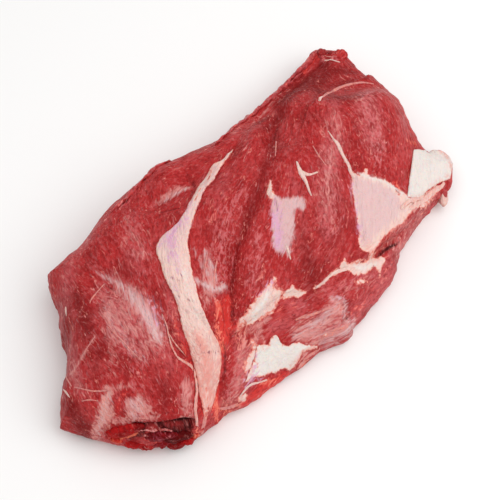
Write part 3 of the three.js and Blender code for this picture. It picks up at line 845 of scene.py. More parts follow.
@dataclass(frozen=True)
class Step:
    """A place where one layer ends on another: the side to the left of its line stands higher.

    Attributes:
        points: its line.
        height: how far the higher side stands out, in mm.
        fall_off: mm over which that side comes down again.
        width: mm over which it rises from the line.
    """

    points: Points
    height: float
    fall_off: float
    width: float = 4.0

    def rise(self, places: Array) -> Array:
        """Find how far it lifts some places.

        Args:
            places: places in mm, one a row.

        Returns:
            Lift in mm, one value a place.
        """
        near = Curve(self.points).nearby(places, STEP_REACH * self.fall_off)
        lift = np.minimum(near.distance / self.width, 1.0) * np.exp(-near.distance / self.fall_off)
        return np.where(near.across > 0, self.height * lift, 0.0)


# Muscle bundles that swell under the skin, the valleys between them and the layers that end on others.
RELIEF = (
    Fold(((83, 66), (44, 44), (0, 27), (-20, 5), (-36, -19)), 4.0, 20.0),
    Fold(((118, 67), (86, 42), (44, 15), (12, -8), (-18, -35), (-30, -50)), 4.0, 19.0),
    Fold(((138, 42), (108, 20), (79, -14), (58, -44), (34, -66)), 4.0, 21.0),
    Fold(((158, 40), (172, 14), (172, -14)), 5.0, 32.0),
    Fold(((-100, 66), (-66, 52), (-68, 30), (-92, 30)), 3.0, 26.0),
    Fold(((-132, 30), (-128, 0), (-128, -34), (-140, -58)), 3.0, 26.0),
    Fold(((-41, 32), (-68, 9), (-79, -21), (-88, -49), (-100, -76)), 2.5, 13.0),
    Fold(((107, 71), (73, 41), (41, 15), (10, 1), (-19, -15), (-41, -34), (-61, -55), (-70, -63)), -7.0,
        9.0),
    Fold(((-20, -17), (-37, -31), (-54, -49), (-63, -59)), -3.0, 2.6),
    Fold(((-84, -44), (-84, -58), (-90, -71), (-99, -82), (-108, -90)), -4.0, 5.0),
    Fold(((46, 63), (88, 82), (129, 88), (177, 103), (193, 104)), -5.0, 7.0),
    Fold(((-105, -4), (-114, -37), (-114, -62), (-122, -82)), -3.0, 8.0),
    Fold(((-40, 66), (-20, 64), (0, 66)), -8.0, 15.0),
    Fold(((7, 81), (1, 73), (-2, 64), (-6, 54), (-17, 47), (-28, 43)), -2.0, 3.0),
    Fold(((-46, 54), (-41, 49), (-33, 43)), -1.2, 1.6),
    Fold(((77, -89, 2.0), (85, -87, 3.0), (95, -86, 3.5), (105, -86, 3.0), (115, -86, 1.5)), -3.5),
    Fold(((18, -112, 1.5), (24, -111, 2.4), (31, -109, 1.5)), -3.0),
    Fold(((-122, 38), (-121, 28), (-120, 16)), -0.8, 1.6),
    Fold(((-107, -30), (-112, -42), (-113, -54), (-110, -64)), -2.0, 3.0),
    Step(((127, 20), (115, -19), (101, -40), (77, -71), (54, -80)), 3.0, 14.0),
    Step(((212, 60), (185, 65), (166, 66), (152, 61), (136, 53)), 6.0, 18.0),
    Step(((-58, -66), (-40, -66), (-15, -66), (7, -76), (33, -79), (56, -83), (81, -87), (107, -85),
        (138, -81), (172, -76)), 7.0, 14.0, 5.0),
    Step(((-126, -86), (-112, -66), (-115, -46), (-111, -24), (-105, -4)), 4.0, 14.0),
    Step(((115, -19), (129, -33), (140, -52), (160, -48), (190, -29)), 4.0, 14.0, 5.0),
)


@dataclass(frozen=True)
class Mouth:
    """A hole in the cut end: a flat oval drawn into the side.

    Attributes:
        at, half: its centre and half sizes in mm.
        turn, pitch: its turn about Z and then its pitch, in degrees.
    """

    at: Place
    half: Place
    turn: float
    pitch: float = 0.0

    def open(self, places: Array) -> tuple[Array, Array]:
        """Push the places that lie in the hole inwards to its far wall.

        Args:
            places: places on the skin in mm, one a row.

        Returns:
            The places with the hole opened, and how far in the hole each of them lies, from 0 to 1.
        """
        turn = Matrix.Rotation(math.radians(self.turn), 3, "Z")
        turn @= Matrix.Rotation(math.radians(self.pitch), 3, "X")
        turn, half = np.array(turn), np.array(self.half)
        local = (places - np.array(self.at)) @ turn / half
        free = np.maximum(1 - local[:, 0] ** 2 - local[:, 2] ** 2, 0.0)
        inside = (free > 0) & (local[:, 1] < np.sqrt(free))
        local[inside, 1] = np.sqrt(free[inside])
        opened = local * half @ turn.T + np.array(self.at)
        return np.where(inside[:, None], opened, places), inside * np.minimum(2 * free, 1.0)


def box_mesh(divisions: tuple[int, int, int]) -> bmesh.types.BMesh:
    """Make a cube from -1 to 1.

    Args:
        divisions: how many parts it has along x, y and z.

    Returns:
        The divided cube.
    """
    bm = bmesh.new()
    bmesh.ops.create_cube(bm, size=2.0)
    for axis, count in enumerate(divisions):
        edges = [e for e in bm.edges if abs(e.verts[0].co[axis] - e.verts[1].co[axis]) > 1]
        if count > 1:
            bmesh.ops.subdivide_edges(bm, edges=edges, cuts=count - 1, use_grid_fill=True)
    return bm


def places_of(bm: bmesh.types.BMesh) -> Array:
    """The places of all vertices, one a row."""
    return np.array([vert.co[:] for vert in bm.verts])


def finish_piece(
    bm: bmesh.types.BMesh, name: str, places: Array, finish: bpy.types.Material,
) -> bpy.types.Object:
    """Make an object of a bmesh whose vertices get new places.

    Args:
        bm: the mesh, freed afterwards.
        name: the object's name.
        places: places of its vertices in mm of the drawing.
        finish: its material.

    Returns:
        The object, linked to the scene, smooth shaded.
    """
    centred = (places - np.array(DRAWING_MIDDLE)) * MM
    for vert, place in zip(bm.verts, centred.tolist()):
        vert.co = place
    bmesh.ops.recalc_face_normals(bm, faces=bm.faces)
    for face in bm.faces:
        face.smooth = True
    mesh = bpy.data.meshes.new(name)
    bm.to_mesh(mesh)
    bm.free()
    mesh.materials.append(finish)
    piece = bpy.data.objects.new(name, mesh)
    bpy.context.scene.collection.objects.link(piece)
    return piece


def cover(places: Array, strokes: tuple[Stroke, ...]) -> Array:
    """How much tissue the strongest of some strokes lays at each place."""
    return np.max([stroke.lay(places) for stroke in strokes], axis=0)


def store(piece: bpy.types.Object, places: Array, marks: dict[Tissue, Array]) -> None:
    """Store, at each vertex, how much of each tissue shows and where it lies beside the nearest fibre line.

    The fibre lines are kept by face, so that no face reaches from one line to another.

    Args:
        piece: the piece.
        places: places of its vertices in mm of the drawing.
        marks: one value a vertex for each tissue that it has.
    """
    for kind in Tissue:
        value = marks.get(kind, np.zeros(len(places)))
        layer = piece.data.attributes.new(kind.value, "FLOAT", "POINT")
        layer.data.foreach_set("value", value.astype(np.float32))
    corners = np.zeros(len(piece.data.loops), np.int32)
    piece.data.loops.foreach_get("vertex_index", corners)
    starts = np.zeros(len(piece.data.polygons), np.int32)
    piece.data.polygons.foreach_get("loop_start", starts)
    sides = np.diff(np.append(starts, len(corners)))
    near = [line.nearby(places) for line in FIBRE_LINES]
    nearest = np.argmin([one.distance for one in near], axis=0)
    line = np.repeat(nearest[corners[starts]], sides)
    along = np.stack([one.along + LINE_SHIFT * index for index, one in enumerate(near)])
    across = np.stack([one.across for one in near])
    flow = np.stack([along[line, corners], across[line, corners], places[corners, 2]], 1)
    layer = piece.data.attributes.new("fibre", "FLOAT_VECTOR", "CORNER")
    layer.data.foreach_set("vector", flow.astype(np.float32).ravel())


@dataclass(frozen=True)
class Skin:
    """The skin round the whole piece: the plain form with its relief and torn rim.

    Attributes:
        form: the plain form.
        mouths: the holes in the cut end.
        along, across, rows: divisions of the coarse box.
        finer: cuts in each edge of its top and sides.
        above: share of the rows of the sides that lie above the widest line.
        lumps: size and height in mm of the soft unevenness all over.
        upward: how far up a place has to face for the relief to start and to be full.
        rag: size and height in mm of the torn unevenness along the rim.
        rim_fade, rim_foot: how fast the torn rim fades above and below, and the row where it ends.
        swell: mm that fat and silverskin stand out.
    """

    form: Form = Form()
    mouths: tuple[Mouth, ...] = (
        Mouth((-167, -80, 42), (22, 12, 3.6), -38.0, 8.0),
        Mouth((-149, -91, 38), (12, 12, 8.0), -38.0),
    )
    along: int = 76
    across: int = 40
    rows: int = 11
    finer: int = 3
    above: float = 0.7
    lumps: Points = ((46.0, 2.2), (19.0, 1.2), (8.0, 0.5), (4.0, 0.3))
    upward: tuple[float, float] = (0.1, 0.5)
    rag: Points = ((9.0, 1.6), (4.0, 0.9))
    rim_fade: float = 3.0
    rim_foot: float = -0.9
    swell: float = 0.8

    def shape(self, bm: bmesh.types.BMesh) -> tuple[Array, Array]:
        """Work out where the skin goes.

        Args:
            bm: the divided box, which is drawn out to the plain form on the way.

        Returns:
            Places of its vertices in mm, and how far in a hole each of them lies, from 0 to 1.
        """
        box = places_of(bm)
        level = (box[:, 2] + 1) / 2
        below = 1 - self.above
        box[:, 2] = np.where(level > below, (level - below) / self.above, (level - below) / below)
        plain = self.form.place(box)
        for vert, place in zip(bm.verts, plain.tolist()):
            vert.co = place
        bm.normal_update()
        normal = np.array([vert.normal[:] for vert in bm.verts])
        upward = smooth_step(normal[:, 2], *self.upward)
        out = sum(height * noise_at(plain, size, Shift.SKIN_LUMPS) for size, height in self.lumps)
        out += upward * sum(fold.rise(plain) for fold in RELIEF)
        out += upward * self.swell * cover(plain, FAT_STROKES)
        places = plain + normal * out[:, None]
        rim = np.exp(-np.abs(box[:, 2]) * self.rim_fade) * (box[:, 2] > self.rim_foot)
        torn = sum(height * noise_at(plain, size, Shift.SKIN_RIM) for size, height in self.rag)
        places[:, :2] += normal[:, :2] * (rim * torn)[:, None]
        hollow = np.zeros(len(places))
        for mouth in self.mouths:
            places, within = mouth.open(places)
            hollow = np.maximum(hollow, within)
        places[:, 2] = np.where(box[:, 2] <= -1, 0.0, np.maximum(places[:, 2], 0.0))
        return places, hollow

    def build(self, finish: bpy.types.Material) -> bpy.types.Object:
        """Make the skin as one piece.

        Args:
            finish: its material.

        Returns:
            The piece.
        """
        bm = box_mesh((self.along, self.across, self.rows))
        fine = [any(f.calc_center_median().z > UNDERSIDE for f in edge.link_faces) for edge in bm.edges]
        edges = [edge for edge, shows in zip(bm.edges, fine) if shows]
        bmesh.ops.subdivide_edges(bm, edges=edges, cuts=self.finer, use_grid_fill=True)
        places, hollow = self.shape(bm)
        piece = finish_piece(bm, "meat_skin", places, finish)
        marks = {kind: cover(places, strokes) * (1 - hollow) for kind, strokes in MARKS.items()}
        # The inside of each hole is painted almost black as its shade.
        marks[Tissue.DEEP_SHADE] = np.maximum(marks[Tissue.DEEP_SHADE], hollow)
        store(piece, places, marks)
        return piece


def add_node(
    tree: bpy.types.NodeTree, kind: str, inputs: dict[str | int, object] | None = None, **settings: object,
) -> bpy.types.Node:
    """Add a node with its settings and inputs.

    Args:
        tree: the material's node tree.
        kind: the node's type.
        inputs: value or linked socket for each input, by its name or number.
        settings: the node's own settings.

    Returns:
        The node.
    """
    node = tree.nodes.new(kind)
    for name, value in settings.items():
        setattr(node, name, value)
    for key, value in (inputs or {}).items():
        if isinstance(value, bpy.types.NodeSocket):
            tree.links.new(value, node.inputs[key])
        else:
            node.inputs[key].default_value = value
    return node


@dataclass(frozen=True)
class Noise:
    """A noise of a real size.

    Attributes:
        size: mm along and across the fibres and in height.
        detail: how many finer layers it has.
        swirl: how far it is bent.
        on_fibres: whether it follows the fibres or lies still in the piece.
    """

    size: Place
    detail: float
    swirl: float
    on_fibres: bool = True


class Pattern(Enum):
    """Patterns that break up the colours."""

    WORM = Noise((8.0, 3.0, 3.4), 1.5, 0.8)  # bent strokes of muscle bundles
    GRIT = Noise((3.6, 2.4, 2.8), 2.0, 0.3)  # flecks where bundles are cut across
    BLOTCH = Noise((22.0, 22.0, 22.0), 3.0, 0.4, False)  # broad uneven colour
    TORN = Noise((3.6, 3.6, 3.6), 3.0, 0.4, False)  # ragged edges of fat
    MOTTLE = Noise((12.0, 7.0, 8.0), 2.0, 0.6)  # patches as wide as a few bundles
    WEB = Noise((11.0, 4.0, 5.0), 3.0, 1.6)  # strands of membrane
    HAIR = Noise((16.0, 1.8, 2.4), 2.0, 0.6)  # thin fibres in silverskin


@dataclass(frozen=True)
class Layer:
    """A colour laid where a tissue and a pattern allow it.

    Attributes:
        colour: its sRGB hex colour.
        kind: tissue that it shows, or none if it lies all over.
        pattern: what breaks it up.
        sway: how strongly the pattern changes its amount.
        low, high: amounts at which it starts and is full.
        most: its greatest share.
    """

    colour: str
    kind: Tissue | None
    pattern: Pattern
    sway: float
    low: float
    high: float
    most: float = 1.0


@dataclass(frozen=True)
class RawMeat:
    """Fresh trimmed beef, cut by knife: moist lean meat with the fat, silverskin and membrane grown on it.

    The eye sees short light and dark flecks along the fibres, a satin sheen with small wet glints, and cream
    and lavender tissue with feathered edges. Muscle bundles are 1 to 4 mm wide; the finer ones are drawn at
    3 mm, because less doesn't show in a picture of the whole piece.

    Attributes:
        name: the material's name.
        lean: sRGB hex colour of the plain lean meat.
        rough: roughness where it is wettest and where it is driest.
        dry: values of the torn pattern between which it goes from wet to dry.
        gloss, ior: strength and index of refraction of the moist surface.
        coat, coat_rough: share and roughness of the film of juice on it.
        glow, glow_spread, glow_depth: share of light that goes in and comes out again, how far its red,
            green and blue spread, and their depth in mm.
        bump, relief: strength and depth in mm of the fine relief.
        flecks: share of the flecks in that relief.
        layers: the colours laid over the lean meat, in order.
    """

    name: str = "raw_beef_knife_trimmed"
    lean: str = "#ae2a2b"
    rough: tuple[float, float] = (0.32, 0.55)
    dry: tuple[float, float] = (0.3, 0.7)
    gloss: float = 0.11
    ior: float = 1.4
    coat: float = 0.03
    coat_rough: float = 0.2
    glow: float = 0.2
    glow_spread: Place = (1.0, 0.28, 0.16)
    glow_depth: float = 2.0
    bump: float = 0.8
    relief: float = 1.9
    flecks: float = 0.7
    layers: tuple[Layer, ...] = (
        # Darker lean meat, partly painted shade in hollows, valleys and slopes turned from the light.
        Layer("#761011", Tissue.SHADE, Pattern.BLOTCH, 0.6, 0.0, 1.0, 0.88),
        # Paler, pinker lean meat, partly a painted sheen on the swellings and rounded edges.
        Layer("#be5356", Tissue.FLESH_AND_SHEEN, Pattern.BLOTCH, 1.0, 0.1, 0.9, 0.9),
        Layer("#8d1c1b", None, Pattern.BLOTCH, 4.0, 0.1, 0.7, 0.45),
        Layer("#bd4848", None, Pattern.BLOTCH, -4.0, 0.15, 0.7, 0.45),
        Layer("#8a191a", None, Pattern.MOTTLE, -4.0, 0.15, 0.8, 0.45),
        Layer("#ca5d5e", None, Pattern.MOTTLE, 4.0, 0.25, 0.9, 0.5),
        Layer("#c35b5c", None, Pattern.GRIT, 5.0, 0.1, 0.8, 0.3),
        Layer("#7a1416", None, Pattern.GRIT, -5.0, 0.15, 0.85, 0.5),
        Layer("#8b1a1b", None, Pattern.WORM, -5.0, 0.2, 0.8, 0.45),
        # The same darker meat and painted shade again, over the flecks.
        Layer("#761011", Tissue.SHADE, Pattern.MOTTLE, 1.5, 0.3, 1.2, 0.6),
        # Pale flecks along the fibres: bundle ends, partly painted wet glints.
        Layer("#ce6f71", Tissue.GRAIN, Pattern.WORM, 5.0, 0.6, 1.8, 0.6),
        Layer("#db8f90", Tissue.GRAIN, Pattern.GRIT, 6.0, 1.0, 2.0, 0.28),
        Layer("#d33a35", Tissue.WET, Pattern.WEB, 2.0, 0.3, 0.8, 0.9),
        Layer("#e87864", Tissue.EMBER, Pattern.WEB, 3.0, 0.3, 0.9, 0.9),
        # Painted shade, almost black red, in the cuts, seams and holes.
        Layer("#3f0607", Tissue.DEEP_SHADE, Pattern.TORN, 0.6, 0.2, 0.9),
        Layer("#d48b86", Tissue.VEIL, Pattern.WEB, 2.0, 0.15, 1.0, 0.92),
        Layer("#e08a7c", Tissue.FAT, Pattern.TORN, 1.2, 0.26, 0.42),
        Layer("#e6c4ba", Tissue.FAT, Pattern.TORN, 1.2, 0.44, 0.62),
        Layer("#cf9f99", Tissue.FAT, Pattern.HAIR, 4.0, 0.8, 1.8, 0.6),
        Layer("#e0d6d0", Tissue.WHITE, Pattern.TORN, 0.8, 0.2, 0.8),
        Layer("#dc8f84", Tissue.BLUSH, Pattern.WEB, 1.4, 0.1, 1.1, 0.9),
        Layer("#d8b4b4", Tissue.SILVER, Pattern.HAIR, 1.4, 0.1, 0.95, 0.88),
        Layer("#d5a1bb", Tissue.TINT, Pattern.WEB, 1.8, 0.3, 0.8, 0.9),
        Layer("#8d5560", Tissue.VEIN, Pattern.HAIR, 1.5, 0.3, 0.8, 0.9),
    )

    def build(self) -> bpy.types.Material:
        """Make the material.

        Returns:
            The material, which reads the tissues and the fibre lines that a piece stores.
        """
        material = bpy.data.materials.new(self.name)
        material.use_nodes = True
        tree = material.node_tree
        tree.nodes.clear()
        fibres = add_node(tree, "ShaderNodeAttribute", attribute_name="fibre").outputs["Vector"]
        still = add_node(tree, "ShaderNodeTexCoord").outputs["Object"]
        noise = {}
        for pattern in Pattern:
            kind = pattern.value
            unit = 1.0 if kind.on_fibres else MM
            scale = [1 / (size * unit) for size in kind.size]
            source = fibres if kind.on_fibres else still
            moved = add_node(tree, "ShaderNodeMapping", {"Vector": source, "Scale": scale}).outputs[0]
            settings = {"Vector": moved, "Scale": 1.0, "Detail": kind.detail, "Distortion": kind.swirl}
            noise[pattern] = add_node(tree, "ShaderNodeTexNoise", settings).outputs["Fac"]
        colour = linear(self.lean)
        for layer in self.layers:
            amount = -0.5 * layer.sway
            if layer.kind:
                mark = add_node(tree, "ShaderNodeAttribute", attribute_name=layer.kind.value).outputs["Fac"]
                amount = add_node(tree, "ShaderNodeMath", {0: mark, 1: amount}, operation="ADD").outputs[0]
            swayed = {0: noise[layer.pattern], 1: layer.sway, 2: amount}
            swayed = add_node(tree, "ShaderNodeMath", swayed, operation="MULTIPLY_ADD").outputs[0]
            limits = {"Value": swayed, "From Min": layer.low, "From Max": layer.high, "To Max": layer.most}
            share = add_node(tree, "ShaderNodeMapRange", limits, interpolation_type="SMOOTHSTEP").outputs[0]
            inputs = {0: share, 6: colour, 7: linear(layer.colour)}
            colour = add_node(tree, "ShaderNodeMix", inputs, data_type="RGBA").outputs[2]
        height = {0: noise[Pattern.GRIT], 1: self.flecks, 2: noise[Pattern.WORM]}
        height = add_node(tree, "ShaderNodeMath", height, operation="MULTIPLY_ADD").outputs[0]
        relief = {"Height": height, "Strength": self.bump, "Distance": self.relief * MM}
        bump = add_node(tree, "ShaderNodeBump", relief).outputs[0]
        limits = {"Value": noise[Pattern.TORN], "From Min": self.dry[0], "From Max": self.dry[1]}
        limits |= {"To Min": self.rough[0], "To Max": self.rough[1]}
        rough = add_node(tree, "ShaderNodeMapRange", limits).outputs[0]
        shader = add_node(tree, "ShaderNodeBsdfPrincipled", {
            "Base Color": colour, "Roughness": rough, "Normal": bump,
            "IOR": self.ior, "Specular IOR Level": self.gloss,
            "Subsurface Weight": self.glow, "Subsurface Radius": self.glow_spread,
            "Subsurface Scale": self.glow_depth * MM,
            "Coat Weight": self.coat, "Coat Roughness": self.coat_rough,
        })
        add_node(tree, "ShaderNodeOutputMaterial", {"Surface": shader.outputs[0]})
        return material


# The cut end was opened last: the eye sees a deeper red that hasn't yet dried or paled in the air.
CUT_FACE = RawMeat(
    name="raw_beef_fresh_cut",
    lean="#8c0e11",
    gloss=0.06,
    coat=0.02,
    layers=(
        Layer("#b01c1e", None, Pattern.BLOTCH, 4.0, 0.3, 1.0, 0.5),
        Layer("#6c0809", None, Pattern.MOTTLE, -4.0, 0.15, 0.8, 0.5),
        Layer("#760a0c", None, Pattern.GRIT, -5.0, 0.15, 0.85, 0.4),
        Layer("#c0504f", Tissue.FLESH_AND_SHEEN, Pattern.BLOTCH, 1.0, 0.1, 0.9, 0.9),
        # Darker meat, partly painted shade in and under the holes.
        Layer("#490507", Tissue.SHADE, Pattern.BLOTCH, 0.6, 0.0, 1.0, 0.9),
        Layer("#b71c1d", Tissue.WET, Pattern.MOTTLE, 2.0, 0.1, 0.9, 0.85),
        Layer("#dc6a50", Tissue.EMBER, Pattern.WEB, 2.0, 0.3, 0.9, 0.8),
        # Painted shade in the holes and slits.
        Layer("#2e0304", Tissue.DEEP_SHADE, Pattern.TORN, 0.6, 0.2, 0.9),
        Layer("#a03a4b", Tissue.TINT, Pattern.WEB, 2.4, 0.3, 1.0, 0.7),
        Layer("#d18784", Tissue.VEIL, Pattern.WEB, 2.4, 0.2, 1.0, 0.92),
        Layer("#e08a6c", Tissue.BLUSH, Pattern.WEB, 1.4, 0.1, 1.1, 0.9),
    ),
)


@dataclass(frozen=True)
class Ground:
    """The finished skin as something to lie on, in mm of the drawing.

    Attributes:
        faces: its faces.
        sky: a height above the whole piece.
        rim: about the height of the widest line, for places beyond it.
        least: whatever is lower than this is the underside.
    """

    faces: BVHTree
    sky: float = 200.0
    rim: float = 14.0
    least: float = 0.5

    @classmethod
    def of(cls, skin: bpy.types.Object) -> "Ground":
        """Keep the faces of the skin.

        Args:
            skin: the finished skin.

        Returns:
            What the other pieces lie on.
        """
        flat = np.zeros(len(skin.data.vertices) * 3)
        skin.data.vertices.foreach_get("co", flat)
        places = flat.reshape(-1, 3) / MM + np.array(DRAWING_MIDDLE)
        faces = [face.vertices[:] for face in skin.data.polygons]
        return cls(BVHTree.FromPolygons(places.tolist(), faces))

    def height(self, places: Array) -> Array:
        """Find the height of the skin's top, or of the nearest part of its rim where there is none.

        Args:
            places: x, y and more in mm, one place a row.

        Returns:
            Height in mm, one value a place.
        """
        found = []
        for x, y in places[:, :2].tolist():
            hit = self.faces.ray_cast(Vector((x, y, self.sky)), Vector((0, 0, -1)))[0]
            if hit is None or hit.z < self.least:
                hit = self.faces.find_nearest(Vector((x, y, self.rim)))[0]
            found.append(hit.z)
        return np.array(found)


@dataclass(frozen=True)
class Ribbon:
    """A strip seen from above, between two edges or to both sides of a centre line.

    Attributes:
        line: one edge or, if it has no other edge, the centre line with half widths in mm.
        other: the other edge.
    """

    line: Points
    other: Points = ()

    def edges(self, share: Array) -> tuple[Array, Array]:
        """Find places on its two edges.

        Args:
            share: where along its length, from 0 to 1.

        Returns:
            x and y on the one edge and on the other, one place a row.
        """
        line, normal = Curve(self.line).place(share)
        if self.other:
            return line[:, :2], Curve(self.other).place(share)[0][:, :2]
        half = np.maximum(line[:, 2], THINNEST)[:, None]
        return line[:, :2] + normal * half, line[:, :2] - normal * half


@dataclass(frozen=True)
class Laid:
    """Tissue that lies on the meat in one or more strips, with its edges let into it.

    Attributes:
        name: the piece's name.
        ribbons: its strips.
        thick: how far their middle stands out, in mm.
        marks: how much of each kind of tissue it shows.
        strokes: strokes of tissue laid on it as well.
        bare: strokes where the meat below shows through.
        lip: share of its thickness that its edges have.
        taper: share of its length over which an end thins out.
        step, rows: mm between its divisions along, and divisions across.
        rag: size and height in mm of the unevenness of its edges.
        bumps: size and height in mm of the unevenness of its top.
        sink: how deep its lower face lies in the meat.
        smooth: how often its top is smoothed.
        inset, feather: mm inside its edge where its tissue has half set in, and over which it does so.
        drop: how many mm its edges may hang below its middle where it lies on a steep edge.
    """

    name: str
    ribbons: tuple[Ribbon, ...]
    thick: float
    marks: dict[Tissue, float]
    strokes: tuple[tuple[Tissue, Stroke], ...] = ()
    bare: tuple[Stroke, ...] = ()
    lip: float = 0.35
    taper: float = 0.06
    step: float = 1.2
    rows: int = 16
    rag: tuple[float, float] = (7.0, 0.5)
    bumps: tuple[float, float] = (5.0, 0.3)
    sink: float = 2.0
    smooth: int = 3
    inset: float = 0.4
    feather: float = 1.0
    drop: float = 40.0

    def strip(self, ribbon: Ribbon, ground: Ground) -> tuple[bmesh.types.BMesh, Array, Array]:
        """Make one strip.

        Args:
            ribbon: its edges.
            ground: what it lies on.

        Returns:
            Its mesh, the places of its vertices and how many mm inside its edge each of them lies.
        """
        length = Curve(ribbon.line).length()
        bm = box_mesh((max(LEAST_DIVISIONS, round(length / self.step)), self.rows, 1))
        box = places_of(bm)
        first, last = ribbon.edges((box[:, 0] + 1) / 2)
        middle = (first + last) / 2
        half = np.maximum(np.hypot(*(first - last).T) / 2, LEAST_WIDTH)
        edge = np.where(box[:, 1:2] > 0, first, last)
        wobble = self.rag[1] * noise_at(np.column_stack([edge, 0 * half]), self.rag[0], Shift.STRIP_EDGE)
        across = box[:, 1] * np.maximum(1 + wobble / half, LEAST_SHARE)
        flat = middle + (first - last) / 2 * across[:, None]
        level = np.maximum(ground.height(flat), ground.height(middle) - self.drop)
        for vert, place in zip(bm.verts, np.column_stack([flat, level]).tolist()):
            vert.co = place
        top = [vert for vert, z in zip(bm.verts, box[:, 2]) if z > 0]
        for _ in range(self.smooth):
            bmesh.ops.smooth_vert(bm, verts=top, factor=0.5, use_axis_z=True)
        places = places_of(bm)
        section = self.lip + (1 - self.lip) * np.sqrt(1 - np.abs(box[:, 1]) ** 3)
        section *= self.lip + (1 - self.lip) * smooth_step(1 - np.abs(box[:, 0]), 0.0, self.taper)
        size, height = self.bumps
        rise = section * (self.thick + height * noise_at(places, size, Shift.STRIP_TOP))
        places[:, 2] += np.where(box[:, 2] > 0, rise, -self.sink)
        places[:, 2] = np.maximum(places[:, 2], FLOOR_GAP)
        inside = np.minimum((1 - np.abs(box[:, 1])) * half, (1 - np.abs(box[:, 0])) * length / 2)
        return bm, places, inside

    def build(self, ground: Ground, finish: bpy.types.Material) -> bpy.types.Object:
        """Make its strips as one piece.

        Args:
            ground: what it lies on.
            finish: its material.

        Returns:
            The piece.
        """
        whole = bmesh.new()
        places, inside = np.zeros((0, 3)), np.zeros(0)
        for ribbon in self.ribbons:
            bm, strip_places, strip_inside = self.strip(ribbon, ground)
            part = bpy.data.meshes.new("part")
            bm.to_mesh(part)
            bm.free()
            whole.from_mesh(part)
            bpy.data.meshes.remove(part)
            places = np.vstack([places, strip_places])
            inside = np.concatenate([inside, strip_inside])
        piece = finish_piece(whole, self.name, places, finish)
        full = np.clip(0.5 + (inside - self.inset) / (2 * self.feather), 0.0, 1.0)
        marks = {kind: value * full for kind, value in self.marks.items()}
        for kind, stroke in self.strokes:
            marks[kind] = np.maximum(marks.get(kind, 0.0), stroke.lay(places))
        if self.bare:
            marks = {kind: value * (1 - cover(places, self.bare)) for kind, value in marks.items()}
        store(piece, places, marks)
        return piece


@dataclass(frozen=True)
class Lump:
    """A rounded lump of meat.

    Attributes:
        at, half: its centre and half sizes in mm.
        marks: how much of each kind of tissue it shows.
        turn, pitch, tilt: its turn about Z, then about its own X and Y, in degrees.
    """

    at: Place
    half: Place
    marks: dict[Tissue, float]
    turn: float = 0.0
    pitch: float = 0.0
    tilt: float = 0.0


@dataclass(frozen=True)
class Lumps:
    """Lumps grown together in one piece.

    Attributes:
        name: the piece's name.
        lumps: the lumps.
        rag: size and height in mm of their unevenness.
        finer, weaker: how much finer and weaker a second unevenness is.
        rounds: how often each lump is divided.
    """

    name: str
    lumps: tuple[Lump, ...]
    rag: tuple[float, float] = (6.0, 1.6)
    finer: float = 2.5
    weaker: float = 0.4
    rounds: int = 5

    def build(self, finish: bpy.types.Material) -> bpy.types.Object:
        """Make the lumps as one piece.

        Args:
            finish: their material.

        Returns:
            The piece.
        """
        bm = bmesh.new()
        amounts = []
        for lump in self.lumps:
            matrix = Matrix.Translation(lump.at)
            for angle, axis in ((lump.turn, "Z"), (lump.pitch, "X"), (lump.tilt, "Y")):
                matrix @= Matrix.Rotation(math.radians(angle), 4, axis)
            matrix @= Matrix.Diagonal((*lump.half, 1.0))
            made = bmesh.ops.create_icosphere(bm, subdivisions=self.rounds, radius=1.0, matrix=matrix)
            amounts += [lump.marks] * len(made["verts"])
        bm.normal_update()
        places = places_of(bm)
        normal = np.array([vert.normal[:] for vert in bm.verts])
        size, height = self.rag
        rough = height * noise_at(places, size, Shift.LUMP_BROAD)
        rough += self.weaker * height * noise_at(places, size / self.finer, Shift.LUMP_FINE)
        places += normal * rough[:, None]
        places[:, 2] = np.maximum(places[:, 2], 0.0)
        piece = finish_piece(bm, self.name, places, finish)
        marks = {kind: np.array([amount.get(kind, 0.0) for amount in amounts]) for kind in Tissue}
        store(piece, places, marks)
        return piece


